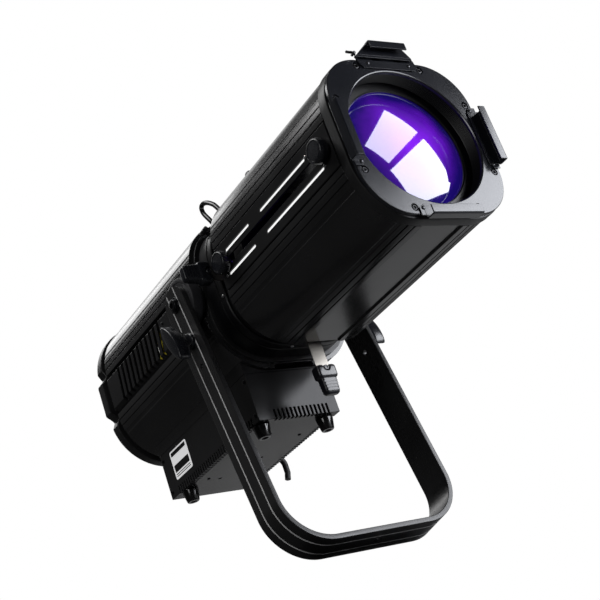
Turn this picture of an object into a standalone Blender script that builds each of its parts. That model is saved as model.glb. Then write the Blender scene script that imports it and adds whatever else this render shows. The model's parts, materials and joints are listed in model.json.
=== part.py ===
"""Ellipsoidal LED spotlight with a zoom barrel, hung in a U-shaped yoke.

Sizes are in millimetres and are scaled to metres when a mesh is made. Lamp coordinates start on
the tilt axis: the lens faces -Y, +X is the lamp's own left side and the driver box is below (-Z).
The yoke has coordinates of its own, swung YOKE_SWING forward of square with the lamp.
"""

import math

import bmesh
import bpy
from mathutils import Matrix, Vector

MM = 0.001
GAP = 0.3  # clearance between neighbouring pieces
SHARP = math.radians(32)

# --- driving sizes: yoke ---
YOKE_SWING = math.radians(9.6)
YOKE_REACH = 329.0  # tilt axis to the outer face of the bar
YOKE_HALF = 117.9  # lamp axis to the outer face of an arm
YOKE_WIDTH = 44.0
YOKE_THICK = 6.0
YOKE_BEND = 56.0
YOKE_GROOVE = 9.0
YOKE_GROOVE_DEEP = 1.2
YOKE_EDGE = 1.0
PIVOT_BORE = 6.3
KNOB_DROP = 52.0  # tilt knob below the tilt axis, along the arm
KNOB_TURN = -13.0  # degrees, the wing's lean at rest
STUD = 4.0
STUD_BORE = 4.4
SPARE_HOLE_DROP = 86.0
SPARE_HOLE = 3.2
CLAMP_BORE = 5.5

# --- driving sizes: extruded section shared by barrel and housing ---
HALF = 97.0
CORNER = 69.0
CHANNEL_HALF = 26.5
HOUSING_CHANNEL = 5.0  # depth
BARREL_CHANNEL = 2.0  # depth
HOUSING_BORE = (89.0, 63.0)  # half width and corner radius
BARREL_BORE = (93.0, 67.0)
GROOVE_DEEP = 1.3
GROOVE_WIDE = 1.6
GROOVE_ANGLES = (6, 13)  # degrees round each corner, from each side

# --- stations along the lamp, front to back ---
PLATE_FRONT = -338.0
PLATE_THICK = 4.0
BEZEL_BACK = -322.0
BARREL_BACK = -77.0
SHUTTER_BOX_FRONT = -76.7
SHUTTER_BOX_BACK = -57.0
GATE_BACK = -24.6
BULKHEAD_BACK = -20.3
HOUSING_FRONT = -20.0
HOUSING_BACK = 236.0
CAP_SEAM = 243.0
CAP_BACK = 260.0
CAP_HALF = 98.5
CAP_RIB = 102.5  # the cap swells over the side covers

# --- front ---
PLATE_HALF = 93.0
PLATE_CORNER = 52.5
OPENING = 80.0
SCREW_ACROSS = 42.0
SCREW_OUT = 85.0
HOLDER_OUT = 99.4
HOLDER_DEEP = 12.3
HOLDER_LIP = 10.0
HOLDER_HALF = 33.0
SHEET = 1.5
RETAINER_AT = (0.0, PLATE_FRONT - 3.0, 95.0)
LATCH_AT = (-42.5, PLATE_FRONT - 3.5, 96.5)
RETAINER_TOP = 110.5

# --- optics ---
FOCUS_KNOB_Y = -307.0
ZOOM_KNOB_Y = -95.0
RAIL_SLOT = 4.6
RAIL_THICK = 2.2
# Height of each row of scale windows in the rail, and where each window starts and ends.
RAIL_WINDOWS = {13.0: ((-275, -178), (-153, -97)), -13.0: ((-298, -178), (-153, -91))}
FRONT_LENS = 74.5
REAR_LENS = 60.0

# --- side vents of the housing ---
VENT_START = 74.0
VENT_PITCH = 12.0
VENT_TOP = 23.5
VENT_FOOT = -23.0
VENT_LEAN = 6.0
COVER_FACE = 99.8
COVER_HALF = 19.5

# --- gate: safety eye and the screw that locks the turning barrel ---
EYE_AT = (-50.0, -40.6, 84.0)
EYE_HALF = 12.0
EYE_TALL = 43.0
EYE_LEAN = 20.0
EYE_WIRE = 2.9
LOCK_AT = (-66.0, -40.0, 66.0)
LOCK_OUT = (-math.sqrt(0.5), 0.0, math.sqrt(0.5))
LOCK_STEM = 2.4

# --- shutters ---
SHUTTER_BOX_HALF = 84.0
SHUTTER_BOX_CORNER = 56.0
SHUTTER_Y = {"bottom": -68.0, "top": -68.0, "right": -71.4, "left": -71.4}
SHUTTER_TURN = {"bottom": 0.0, "right": 90.0, "top": 180.0, "left": 270.0}
SHUTTER_IN = {"bottom": 0.0, "top": 18.0, "right": 14.0, "left": 18.0}  # how far in at rest
HANDLE_NEAR = 122.5
HANDLE_FAR = 157.5

# --- driver box ---
BOX_LEFT = -68.0
BOX_RIGHT = 44.4
BOX_FRONT = -15.0
BOX_BACK = 216.0
BOX_TOP = -99.4
BOX_BOTTOM = -157.2
BOX_WALL = 2.0
FOOT_TALL = 15.5
FEET = {"foot_front_right": (-57, 1), "foot_front_left": (31, 1),
        "foot_rear_right": (-57, 187), "foot_rear_left": (31, 187)}

PANEL_THICK = 2.0
PANEL_FACE = BOX_BACK + GAP + PANEL_THICK
BUTTON_PROUD = 2.2
BUTTON_X = (-51.0, -39.0, -27.0, -15.0)
BUTTON_Z = -137.0
SOCKET_X = {"data_socket_in": 3.0, "data_socket_out": 27.0}
SOCKET_Z = -127.0

# The origin of the model is the bottom centre of its bounding box.
LONGEST_BACK = CAP_BACK
LONGEST_FRONT = PLATE_FRONT - GAP - HOLDER_DEEP
AXIS_Y = -(LONGEST_BACK + LONGEST_FRONT) / 2
AXIS_Z = YOKE_REACH * math.cos(YOKE_SWING) + (YOKE_WIDTH / 2 - YOKE_EDGE) * math.sin(YOKE_SWING)

# colour, roughness, metallic
LOOKS = {
    "anodised": ((0.012, 0.012, 0.014), 0.35, 0.7),
    "powder_coat": ((0.014, 0.014, 0.016), 0.5, 0.1),
    "cast": ((0.010, 0.010, 0.011), 0.6, 0.2),
    "plate": ((0.030, 0.030, 0.036), 0.38, 0.6),
    "plastic": ((0.012, 0.012, 0.013), 0.55, 0.0),
    "rubber": ((0.010, 0.010, 0.010), 0.85, 0.0),
    "steel": ((0.55, 0.54, 0.52), 0.3, 1.0),
    "aluminium": ((0.60, 0.61, 0.62), 0.4, 1.0),
    "glass": ((0.20, 0.12, 0.60), 0.05, 0.0),
    "emitter": ((0.80, 0.75, 0.35), 0.5, 0.0),
}


# --- scene helpers ---


def clear_scene():
    for item in list(bpy.data.objects):
        bpy.data.objects.remove(item)


def material_for(name, look):
    colour, roughness, metallic = LOOKS[look]
    material = bpy.data.materials.new(name)
    material.use_nodes = True
    shader = material.node_tree.nodes["Principled BSDF"]
    shader.inputs["Base Color"].default_value = (*colour, 1.0)
    shader.inputs["Roughness"].default_value = roughness
    shader.inputs["Metallic"].default_value = metallic
    material.diffuse_color = (*colour, 1.0)
    return material


def axis_empty(name, parent=None, at=(0, 0, 0), turn_x=0.0):
    """An empty on a joint's axis; at is in its parent's coordinates, in millimetres."""
    empty = bpy.data.objects.new(name, None)
    empty.empty_display_size = 0.02
    bpy.context.scene.collection.objects.link(empty)
    empty.parent = parent
    empty.location = Vector(at) * MM
    empty.rotation_euler = (turn_x, 0, 0)
    return empty


def make(name, mesh_maker, look, parent, at=(0, 0, 0)):
    """One object from a bmesh in its group's coordinates; at is where its parent empty stands there."""
    mesh_maker.transform(Matrix.Translation(-Vector(at)))
    mesh_maker.transform(Matrix.Scale(MM, 4))
    bmesh.ops.recalc_face_normals(mesh_maker, faces=mesh_maker.faces)
    mesh = bpy.data.meshes.new(name)
    mesh_maker.to_mesh(mesh)
    mesh_maker.free()
    mesh.shade_smooth()
    mesh.set_sharp_from_angle(angle=SHARP)
    item = bpy.data.objects.new(name, mesh)
    bpy.context.scene.collection.objects.link(item)
    item.parent = parent
    mesh.materials.append(material_for(name, look))
    return item


def cut(item, mesh_maker, at=(0, 0, 0)):
    """Takes a cutter, given in the same coordinates as the object, out of it."""
    cutter = make(item.name + "_cutter", mesh_maker, "plastic", item.parent, at)
    cutter.hide_render = True
    cutter.display_type = "WIRE"
    modifier = item.modifiers.new("cut", "BOOLEAN")
    modifier.operation = "DIFFERENCE"
    modifier.solver = "EXACT"
    modifier.object = cutter


# --- shape helpers ---


def loft(rings, closed_ends=True):
    """Joins rings of equal length into one closed skin."""
    bm = bmesh.new()
    rows = [[bm.verts.new(point) for point in ring] for ring in rings]
    count = len(rows[0])
    for low, high in zip(rows, rows[1:]):
        for i in range(count):
            j = (i + 1) % count
            bm.faces.new((low[i], low[j], high[j], high[i]))
    if closed_ends:
        bm.faces.new(rows[0])
        bm.faces.new(reversed(rows[-1]))
    else:
        low, high = rows[-1], rows[0]
        for i in range(count):
            j = (i + 1) % count
            bm.faces.new((low[i], low[j], high[j], high[i]))
    return bm


def along_y(outline, *stations):
    """A prism of an (x, z) outline; each station is a y, or a y with a scale."""
    rings = []
    for station in stations:
        y, scale = station if isinstance(station, tuple) else (station, 1.0)
        rings.append([(x * scale, y, z * scale) for x, z in outline])
    return loft(rings)


def along_x(outline, x0, x1):
    return loft([[(x, y, z) for y, z in outline] for x in (x0, x1)])


def along_z(outline, z0, z1):
    return loft([[(x, y, z) for x, y in outline] for z in (z0, z1)])


def box(x0, x1, y0, y1, z0, z1):
    return along_z([(x0, y0), (x1, y0), (x1, y1), (x0, y1)], z0, z1)


def arc(cx, cy, radius, start, end, steps):
    """Points on an arc, angles in degrees."""
    angles = [math.radians(start + (end - start) * i / steps) for i in range(steps + 1)]
    return [(cx + radius * math.cos(a), cy + radius * math.sin(a)) for a in angles]


def circle(radius, steps=40, cx=0.0, cy=0.0):
    return arc(cx, cy, radius, 0, 360 - 360 / steps, steps - 1)


def rounded_square(half, corner, steps=7):
    inner = half - corner
    points = []
    for k, (sx, sy) in enumerate(((1, 1), (-1, 1), (-1, -1), (1, -1))):
        points += arc(sx * inner, sy * inner, corner, 90 * k, 90 * k + 90, steps)
    return points


def rounded_box(x0, x1, y0, y1, radius, steps=4):
    return (arc(x1 - radius, y1 - radius, radius, 0, 90, steps)
            + arc(x0 + radius, y1 - radius, radius, 90, 180, steps)
            + arc(x0 + radius, y0 + radius, radius, 180, 270, steps)
            + arc(x1 - radius, y0 + radius, radius, 270, 360, steps))


def spin_y(profile, steps=36):
    """Turns a closed (radius, y) profile round the lamp axis."""
    rings = []
    for i in range(steps):
        a = 2 * math.pi * i / steps
        rings.append([(r * math.cos(a), y, r * math.sin(a)) for r, y in profile])
    return loft(rings, closed_ends=False)


def spin_y_solid(profile, steps=36):
    """Turns an open (radius, y) profile, whose ends are on the axis, round the lamp axis."""
    bm = bmesh.new()
    first, last = bm.verts.new((0, profile[0][1], 0)), bm.verts.new((0, profile[-1][1], 0))
    rows = []
    for r, y in profile[1:-1]:
        turns = [2 * math.pi * i / steps for i in range(steps)]
        rows.append([bm.verts.new((r * math.cos(a), y, r * math.sin(a))) for a in turns])
    for i in range(steps):
        j = (i + 1) % steps
        bm.faces.new((first, rows[0][j], rows[0][i]))
        bm.faces.new((last, rows[-1][i], rows[-1][j]))
        for low, high in zip(rows, rows[1:]):
            bm.faces.new((low[i], low[j], high[j], high[i]))
    return bm


def rod(start, end, radius, steps=16):
    """A round bar between two points."""
    start, end = Vector(start), Vector(end)
    turn = (end - start).to_track_quat("Z", "Y").to_matrix().to_4x4()
    ring = circle(radius, steps)
    bm = along_z(ring, 0, (end - start).length)
    bm.transform(Matrix.Translation(start) @ turn)
    return bm


def pipe(path, radius, steps=12):
    """A round bar along a path of points that turns smoothly."""
    points = [Vector(p) for p in path]
    ring, rings = circle(radius, steps), []
    turn = (points[1] - points[0]).to_track_quat("Z", "Y")
    last = (points[1] - points[0]).normalized()
    for i, point in enumerate(points):
        ahead = points[min(i + 1, len(points) - 1)] - points[max(i - 1, 0)]
        ahead.normalize()
        turn = last.rotation_difference(ahead) @ turn
        last = ahead
        rings.append([point + turn @ Vector((x, y, 0)) for x, y in ring])
    return loft(rings)


def join(*makers):
    """Several separate closed shapes in one bmesh, for a cutter."""
    mesh = bpy.data.meshes.new("joined")
    whole = bmesh.new()
    for maker in makers:
        bmesh.ops.recalc_face_normals(maker, faces=maker.faces)
        maker.to_mesh(mesh)
        whole.from_mesh(mesh)
        maker.free()
    bpy.data.meshes.remove(mesh)
    return whole


def turned(maker, degrees, axis):
    maker.transform(Matrix.Rotation(math.radians(degrees), 4, axis))
    return maker


def four_sided(quarter):
    """Repeats an outline that starts at one side's middle and ends before the next side's."""
    points = []
    for k in range(4):
        c, s = round(math.cos(math.pi / 2 * k)), round(math.sin(math.pi / 2 * k))
        points += [(x * c - y * s, x * s + y * c) for x, y in quarter]
    return points


def extrusion_outline(channel_deep):
    """The section of the barrel and the housing: a channel in each side, fine grooves beside it."""
    inner = HALF - CORNER
    half_angle = math.degrees(GROOVE_WIDE / 2 / CORNER)
    low = [(angle, 0) for angle in (0, 20, 32)]
    for angle in GROOVE_ANGLES:
        low += [(angle - half_angle, 0), (angle, GROOVE_DEEP), (angle + half_angle, 0)]
    low.sort()
    channel_edge = [(HALF - channel_deep, CHANNEL_HALF), (HALF, CHANNEL_HALF + 1.0)]
    corner = []
    for angle, deep in low + [(45, 0)] + [(90 - a, d) for a, d in reversed(low)]:
        reach, turn = CORNER - deep, math.radians(angle)
        corner.append((inner + reach * math.cos(turn), inner + reach * math.sin(turn)))
    return four_sided(channel_edge + corner + [(y, x) for x, y in reversed(channel_edge)])


def cap_outline():
    """The rear cap's section: it swells over each side cover, with a notch on either side of it."""
    rib = [(CAP_RIB, COVER_HALF + 1.5), (CAP_RIB - 6.5, 26.5), (93.5, 30.5)]
    corner = arc(CAP_HALF - CORNER, CAP_HALF - CORNER, CORNER, 9, 81, 8)
    return four_sided(rib + corner + [(y, x) for x, y in reversed(rib)])


# --- yoke ---


def build_yoke(root):
    half_w, e, g, wide = YOKE_WIDTH / 2, YOKE_EDGE, YOKE_GROOVE, 0.9
    # Half of the bar's section: (across the bar, depth from the outer face).
    half = [(g - wide, 0), (g, YOKE_GROOVE_DEEP), (g + wide, 0), (half_w - e, 0), (half_w, e),
            (half_w, YOKE_THICK - e), (half_w - e, YOKE_THICK)]
    section = half + [(-v, d) for v, d in reversed(half)]
    centre_x, centre_z = YOKE_HALF - YOKE_BEND, YOKE_BEND - YOKE_REACH
    bend_steps = 8
    path = [(YOKE_HALF, half_w, 0.0)]
    for step in range(bend_steps + 1):
        degrees = -90 * step / bend_steps
        angle = math.radians(degrees)
        path.append((centre_x + YOKE_BEND * math.cos(angle), centre_z + YOKE_BEND * math.sin(angle),
                     degrees))
    path += [(-x, z, -180 - a) for x, z, a in reversed(path)]
    rings = []
    for x, z, angle in path:
        out_x, out_z = math.cos(math.radians(angle)), math.sin(math.radians(angle))
        rings.append([(x - out_x * d, v, z - out_z * d) for v, d in section])
    frame = make("yoke_frame", loft(rings), "anodised", root)
    reach, clear = YOKE_HALF + 10, 8.0
    ends = [(-half_w - clear, 0), (-half_w, 0)] + arc(0, 0, half_w, 180, 0, 12)[1:]
    ends += [(half_w + clear, 0), (half_w + clear, half_w + clear), (-half_w - clear, half_w + clear)]
    cut(frame, along_x(ends, -reach, reach))
    bar_top = YOKE_THICK - YOKE_REACH
    holes = [rod((-reach, 0, -drop), (reach, 0, -drop), radius)
             for drop, radius in ((0, PIVOT_BORE), (KNOB_DROP, STUD_BORE), (SPARE_HOLE_DROP, SPARE_HOLE))]
    holes.append(rod((0, 0, -YOKE_REACH - clear), (0, 0, bar_top + clear), CLAMP_BORE))
    cut(frame, join(*holes))


def wing_outline(steps):
    """A pointed oval with a half length and a half width of one."""
    points = []
    for i in range(steps):
        a = 2 * math.pi * i / steps
        points.append((math.copysign(abs(math.sin(a)) ** 1.25, math.sin(a)), math.cos(a)))
    return points


def build_tilt_knob(name, side, root):
    """Stud, hub, neck and wing; its origin is on its own axis in the arm."""
    empty = axis_empty(name + "_axis", root, (side * YOKE_HALF, 0, -KNOB_DROP))
    steps, stud_in, hub = 20, -18.0, 10.0
    # (distance outward, half width, half length, how much of the wing's shape)
    stations = [(stud_in, STUD, STUD, 0), (GAP, STUD, STUD, 0), (GAP, hub, hub, 0), (4, hub, hub, 0),
                (9, 7.5, 17, 0.5), (13, 8.5, 27, 1), (25, 8.5, 27, 1), (27, 7, 25, 1)]
    round_unit = [(math.sin(2 * math.pi * i / steps), math.cos(2 * math.pi * i / steps))
                  for i in range(steps)]
    rings = []
    for out, width, length, blend in stations:
        ring = []
        for (a, b), (c, d) in zip(wing_outline(steps), round_unit):
            across, along = a * blend + c * (1 - blend), b * blend + d * (1 - blend)
            ring.append((side * out, width * across, length * along))
        rings.append(ring)
    make(name, turned(loft(rings), KNOB_TURN, "X"), "plastic", empty)


def build_pivots(lamp):
    """A friction disc and a pivot bolt in each side of the housing, on the tilt axis."""
    inner, outer = HALF - HOUSING_CHANNEL + GAP, YOKE_HALF - YOKE_THICK - GAP
    disc_radius, spigot, bolt, head = 31.5, 24.0, 5.9, YOKE_HALF + GAP
    disc_profile = ((inner, spigot), (inner + 4.5, spigot), (inner + 7, disc_radius),
                    (outer - 1, disc_radius), (outer, disc_radius - 1))
    bolt_profile = ((inner + 1, bolt), (head, bolt), (head, 9.5), (head + 3.2, 9.5), (head + 4.4, 8.2))
    for word, side in (("right", -1), ("left", 1)):
        rings = [[(side * x, y, z) for y, z in circle(r, 32)] for x, r in disc_profile]
        item = make("friction_disc_" + word, loft(rings), "powder_coat", lamp)
        cut(item, rod((side * (inner - 2), 0, 0), (side * (outer + 2), 0, 0), PIVOT_BORE))
        rings = [[(side * x, y, z) for y, z in circle(r, 16)] for x, r in bolt_profile]
        make("pivot_bolt_" + word, loft(rings), "steel", lamp)


# --- housing ---


def build_housing(lamp):
    outline = extrusion_outline(HOUSING_CHANNEL)
    shell = make("housing_shell", along_y(outline, HOUSING_FRONT, HOUSING_BACK), "anodised", lamp)
    bore = rounded_square(*HOUSING_BORE)
    cut(shell, along_y(bore, HOUSING_FRONT - 5, HOUSING_BACK + 5))
    window = 20
    cut(shell, box(-HALF - 5, HALF + 5, VENT_START - 10, VENT_START + 11 * VENT_PITCH + 2,
                   -window, window))
    # Each side's cover is a folded sheet whose slots run over its sloping sides.
    floor, half, sheet = HALF - HOUSING_CHANNEL + GAP, CHANNEL_HALF - 0.8, 2.0
    flat = floor + sheet / 2
    section = [(floor, half), (COVER_FACE, COVER_HALF), (COVER_FACE, -COVER_HALF), (floor, -half),
               (floor, 2 * sheet - half), (COVER_FACE - sheet, 1 - COVER_HALF),
               (COVER_FACE - sheet, COVER_HALF - 1), (floor, half - 2 * sheet)]
    for word, side in (("right", -1), ("left", 1)):
        panel = make("vent_panel_" + word, along_y([(side * x, z) for x, z in section], 38, 234),
                     "powder_coat", lamp)
        slots = []
        for i in range(11):
            y, lean = VENT_START + VENT_PITCH * i, VENT_LEAN
            outline = [(y, VENT_TOP), (y + 6, VENT_TOP), (y + 6 + lean, VENT_FOOT), (y + lean, VENT_FOOT)]
            slots.append(along_x(outline, side * (flat - 10), side * (flat + 12)))
        cut(panel, join(*slots))
    bulkhead = make("housing_bulkhead", along_y(rounded_square(91, 60), GATE_BACK + GAP, BULKHEAD_BACK),
                    "powder_coat", lamp)
    cut(bulkhead, along_y(circle(64, 32), GATE_BACK - 5, BULKHEAD_BACK + 5))


def build_rear_cap(lamp):
    """A cast end cap that follows the housing's section, with a grille for the fan."""
    seam, wall, reach = 0.93, 4.0, 64.0
    stations = ((HOUSING_BACK + GAP, seam), (CAP_SEAM, seam), (CAP_SEAM + 0.8, 1.0),
                (CAP_BACK - 3.5, 1.0), (CAP_BACK, 0.975))
    cap = make("rear_cap", along_y(cap_outline(), *stations), "cast", lamp)
    cut(cap, along_y(rounded_square(83, 54), HOUSING_BACK - 5, CAP_BACK - wall))
    slots = []
    for i in range(-5, 6):
        z = i * 11.0
        half = math.sqrt(reach ** 2 - z ** 2)
        slots.append(along_y(rounded_box(-half, half, z - 3, z + 3, 2.9, 2), CAP_BACK - wall - 4,
                             CAP_BACK + 4))
    cut(cap, join(*slots))


def build_engine(lamp):
    """Heat sink, LED board and reflector inside the housing."""
    fins, fin, pitch = 9, 3.2, 15.0
    reach = pitch * (fins - 1) / 2 + fin / 2
    base_front, base_back, tip = 112.0, 122.0, 200.0
    outline = [(-reach, base_front), (reach, base_front)]
    for i in reversed(range(fins)):
        x = -reach + fin / 2 + pitch * i
        outline += [(x + fin / 2, tip), (x - fin / 2, tip)]
        if i:
            outline += [(x - fin / 2, base_back), (x - pitch + fin / 2, base_back)]
    make("heat_sink", along_z(outline, -60, 60), "aluminium", lamp)
    front, emitter = base_front - GAP, base_front - 5.3
    board = [(front, 35), (front - 3, 35), (front - 3, 17), (emitter, 16)]
    rings = [[(x, y, z) for x, z in rounded_square(r, 0.3 * r, 3)] for y, r in board]
    make("led_board", loft(rings), "emitter", lamp)
    # A deep bowl whose wall opens from the LED towards the gate.
    wall, length, mouth, rows = 1.6, 88.0, 60.0, 5
    inner = []
    for i in range(rows + 1):
        t = i / rows
        inner.append((mouth * math.sqrt(1 - 0.86 * (1 - t) ** 2), emitter - 3 - length * t))
    outer = [(radius + wall, y) for radius, y in inner]
    make("reflector", spin_y(outer + inner[::-1], 28), "aluminium", lamp)


def build_fan(lamp, rotor_axis):
    front, back = 219.0, 244.0
    frame = make("fan_frame", along_y(rounded_box(-46, 46, -46, 46, 5, 2), front, back), "plastic", lamp)
    cut(frame, along_y(circle(43.5, 28), front + 4, back + 5))
    openings = []
    for k in range(4):
        start, end = 90 * k + 5, 90 * k + 85
        sector = arc(0, 0, 41, start, end, 5) + arc(0, 0, 20, end, start, 4)
        openings.append(along_y(sector, front - 5, front + 6))
    cut(frame, join(*openings))
    hub, tip, blades = 15.0, 41.0, 7
    blade = ((0, hub), (2, tip), (9, tip), (16, tip), (19, hub), (35, hub))
    rings = []
    for y, twist in ((front + 5, 0.0), (front + 12, 12.0), (back - 2, 26.0)):
        ring = []
        for i in range(blades):
            for turn, radius in blade:
                a = math.radians(360 / blades * i + turn + twist)
                ring.append((radius * math.cos(a), y, radius * math.sin(a)))
        rings.append(ring)
    make("fan_rotor", loft(rings), "plastic", rotor_axis, (0, front, 0))


# --- gate and shutters ---


def build_gate(lamp, lock_axis):
    front, back = SHUTTER_BOX_BACK + GAP, GATE_BACK
    ring = make("gate_ring", along_y(rounded_square(87, 60), front, back), "cast", lamp)
    cut(ring, along_y(circle(66, 32), front - 5, back + 5))
    # The safety eye stands on the ring's upper right corner and leans back.
    x, mid_y, low = EYE_AT
    rise = EYE_TALL - EYE_WIRE - 12
    path = [(x, mid_y - EYE_HALF, low)]
    for i in range(9):
        a = math.pi * (1 - i / 8)
        up = rise * (0.35 + 0.65 * math.sin(a))
        path.append((x, mid_y + EYE_HALF * math.cos(a) + EYE_LEAN * up / rise, low + 12 + up))
    path.append((x, mid_y + EYE_HALF, low))
    make("safety_loop", pipe(path, EYE_WIRE, 10), "powder_coat", lamp)
    sockets = [rod((x, mid_y + end, low - 1), (x, mid_y + end, low + 30), EYE_WIRE + 2 * GAP, 12)
               for end in (-EYE_HALF, EYE_HALF)]
    cut(ring, join(*sockets))
    # The thumb screw that locks the turning barrel, on the same corner.
    at, out, points = Vector(LOCK_AT), Vector(LOCK_OUT), 12
    cut(ring, rod(at - out * 7, at + out * 20, LOCK_STEM + GAP, 12))
    stem, star = circle(LOCK_STEM, points), []
    for i in range(points):
        radius = 7.0 if i % 2 else 4.6
        turn = 2 * math.pi * i / points
        star.append((radius * math.cos(turn), radius * math.sin(turn)))
    rings = [[(px, py, height) for px, py in ring_of]
             for ring_of, height in ((stem, -6), (stem, 9), (star, 9), (star, 15))]
    screw = loft(rings)
    screw.transform(out.to_track_quat("Z", "Y").to_matrix().to_4x4())
    make("barrel_lock_screw", screw, "plastic", lock_axis)


def build_shutter_box(barrel):
    front, back, wall = SHUTTER_BOX_FRONT, SHUTTER_BOX_BACK, 3.0
    body = make("shutter_box", along_y(rounded_square(SHUTTER_BOX_HALF, SHUTTER_BOX_CORNER), front, back),
                "cast", barrel)
    inside = rounded_square(SHUTTER_BOX_HALF - 4, SHUTTER_BOX_CORNER - 4, 5)
    cut(body, along_y(inside, front + wall, back - wall))
    cut(body, along_y(circle(64, 28), front - 5, front + 8))
    cut(body, along_y(circle(40, 20), back - 8, back + 5))
    slots = []
    for side, turn in SHUTTER_TURN.items():
        y, low = SHUTTER_Y[side], -SHUTTER_BOX_HALF
        slots.append(turned(box(-10.5, 10.5, y - 1.4, y + 1.4, low - 4, low + 8), turn, "Y"))
    cut(body, join(*slots))


def build_shutter(side, slide):
    """A steel blade with a moulded handle, drawn for the bottom and turned round the lamp axis."""
    y, turn = SHUTTER_Y[side], SHUTTER_TURN[side]
    blade_half, neck_half, thick = 38.0, 9.0, 0.6
    near, far, pushed = HANDLE_NEAR - SHUTTER_IN[side], HANDLE_FAR - SHUTTER_IN[side], SHUTTER_IN[side]
    edge, shoulder, end = pushed - 32.0, pushed - 69.0, -(near + 16)
    half = [(blade_half, edge), (blade_half, shoulder + 12), (blade_half - 14, shoulder),
            (neck_half, shoulder), (neck_half, end)]
    outline = half + [(-x, z) for x, z in reversed(half)]
    make("shutter_blade_" + side, turned(along_y(outline, y - thick, y + thick), turn, "Y"), "steel", slide)
    # (distance out, half width, half thickness)
    stations = [(near, 11.5, 6.0), (near + 1.5, 13, 7.0), (near + 14, 12.6, 7.2),
                (near + 15.5, 11.8, 6.4), (far - 2, 9.2, 5.2), (far, 8, 4.2)]
    rings = []
    for out, half_x, half_y in stations:
        outline = rounded_box(-half_x, half_x, y - half_y, y + half_y, 3.0, 2)
        rings.append([(px, py, -out) for px, py in outline])
    handle = make("shutter_handle_" + side, turned(loft(rings), turn, "Y"), "plastic", slide)
    pocket = box(-neck_half - GAP, neck_half + GAP, y - thick - GAP, y + thick + GAP,
                 end - GAP, -near + 5)
    cut(handle, turned(pocket, turn, "Y"))


# --- barrel and front ---


def build_barrel(barrel):
    front, back = BEZEL_BACK + GAP, BARREL_BACK
    shell = make("barrel_shell", along_y(extrusion_outline(BARREL_CHANNEL), front, back), "anodised", barrel)
    cut(shell, along_y(rounded_square(*BARREL_BORE), front - 5, back + 5))
    cut(shell, box(-HALF - 5, -HALF + 15, front + 6.7, back - 4.9, -18, 18))
    outer = -(HALF - BARREL_CHANNEL + GAP)
    half = CHANNEL_HALF - 0.8
    rail = make("focus_rail", box(outer - RAIL_THICK, outer, front + 1.2, back - 1, -half, half),
                "powder_coat", barrel)
    travel = rounded_box(FOCUS_KNOB_Y - 6, ZOOM_KNOB_Y + 5.4, -RAIL_SLOT, RAIL_SLOT, 4.4, 3)
    slots = [along_x(travel, outer - 8, outer + 8)]
    for z, spans in RAIL_WINDOWS.items():
        for y0, y1 in spans:
            slots.append(box(outer - 8, outer + 8, y0, y1, z - 1.9, z + 1.9))
    cut(rail, join(*slots))


def build_front(barrel):
    bezel_front = PLATE_FRONT + PLATE_THICK + GAP
    bezel = make("front_bezel", along_y(rounded_square(96.5, 60), bezel_front, BEZEL_BACK), "cast", barrel)
    cut(bezel, along_y(circle(85), bezel_front - 5, BEZEL_BACK + 5))
    plate = make("front_plate", along_y(rounded_square(PLATE_HALF, PLATE_CORNER), PLATE_FRONT,
                                        PLATE_FRONT + PLATE_THICK), "plate", barrel)
    cut(plate, along_y(circle(OPENING, 48), PLATE_FRONT - 5, PLATE_FRONT + PLATE_THICK + 5))
    pockets = []
    for k in range(4):
        for side in (-1, 1):
            outline = circle(4.4, 10, side * SCREW_ACROSS, SCREW_OUT)
            pockets.append(turned(along_y(outline, PLATE_FRONT - 5, PLATE_FRONT + 2), 90 * k, "Y"))
    cut(plate, join(*pockets))


def build_holders(barrel):
    """C-section sheet channels that take the colour frame on three sides."""
    back = PLATE_FRONT - GAP
    front = back - HOLDER_DEEP
    out, inner_lip, foot = HOLDER_OUT, HOLDER_OUT - HOLDER_LIP, 81.5
    outline = [(foot, back), (out, back), (out, front), (inner_lip, front), (inner_lip, front + SHEET),
               (out - SHEET, front + SHEET), (out - SHEET, back - SHEET), (foot, back - SHEET)]
    for word, turn in (("left", 0), ("bottom", 90), ("right", 180)):
        holder = turned(along_z(outline, -HOLDER_HALF, HOLDER_HALF), turn, "Y")
        make("frame_holder_" + word, holder, "plate", barrel)


def ribbon(points):
    """A folded sheet: each point is (y, z, where it starts in x, where it ends)."""
    return loft([[(x0, y, z) for y, z, x0, x1 in points], [(x1, y, z) for y, z, x0, x1 in points]])


def build_retainer(barrel, hinge, latch_axis):
    """The fourth side's holder: a tapered sheet that hinges forward, held by a small lever."""
    back, lip = PLATE_FRONT - GAP, HOLDER_LIP - 2
    base = [(back, 82.5, -34, 34), (back, 91.8, -38, 38), (back - SHEET, 91.8, -38, 38),
            (back - SHEET, 82.5, -34, 34)]
    make("retainer_base", ribbon(base), "plate", barrel)
    foot_y, top_y, top_z = PLATE_FRONT - 1.0, PLATE_FRONT - GAP - HOLDER_DEEP, RETAINER_TOP
    low, mid, high = (-44, 33), (-40, 32), (-24, 23)  # the sheet's ends in x, widest at its foot
    sheet = [(foot_y, 93, *low), (foot_y, 97.5, *mid), (top_y + SHEET, top_z, *high), (top_y, top_z, *high),
             (top_y, top_z - lip, *high), (top_y + SHEET, top_z - lip, *high),
             (top_y + SHEET, top_z - 2.5, *high), (foot_y - 2.2, 95.5, *mid), (foot_y - 2.2, 93, *low)]
    make("top_retainer", ribbon(sheet), "plate", hinge, RETAINER_AT)
    lever = [(-2.4, -2.2), (-0.5, -3.0), (2.2, -1.4), (2.0, 1.8), (-3, 2.6), (-8.5, 2.8),
             (-9, 0.6), (-5, 0.0)]
    outline = [(LATCH_AT[0] - 2 + x, LATCH_AT[2] + z) for x, z in lever]
    latch = along_y(outline, LATCH_AT[1] - 2.5, LATCH_AT[1])
    make("retainer_latch", latch, "plate", latch_axis, LATCH_AT)


# --- lenses ---


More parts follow.
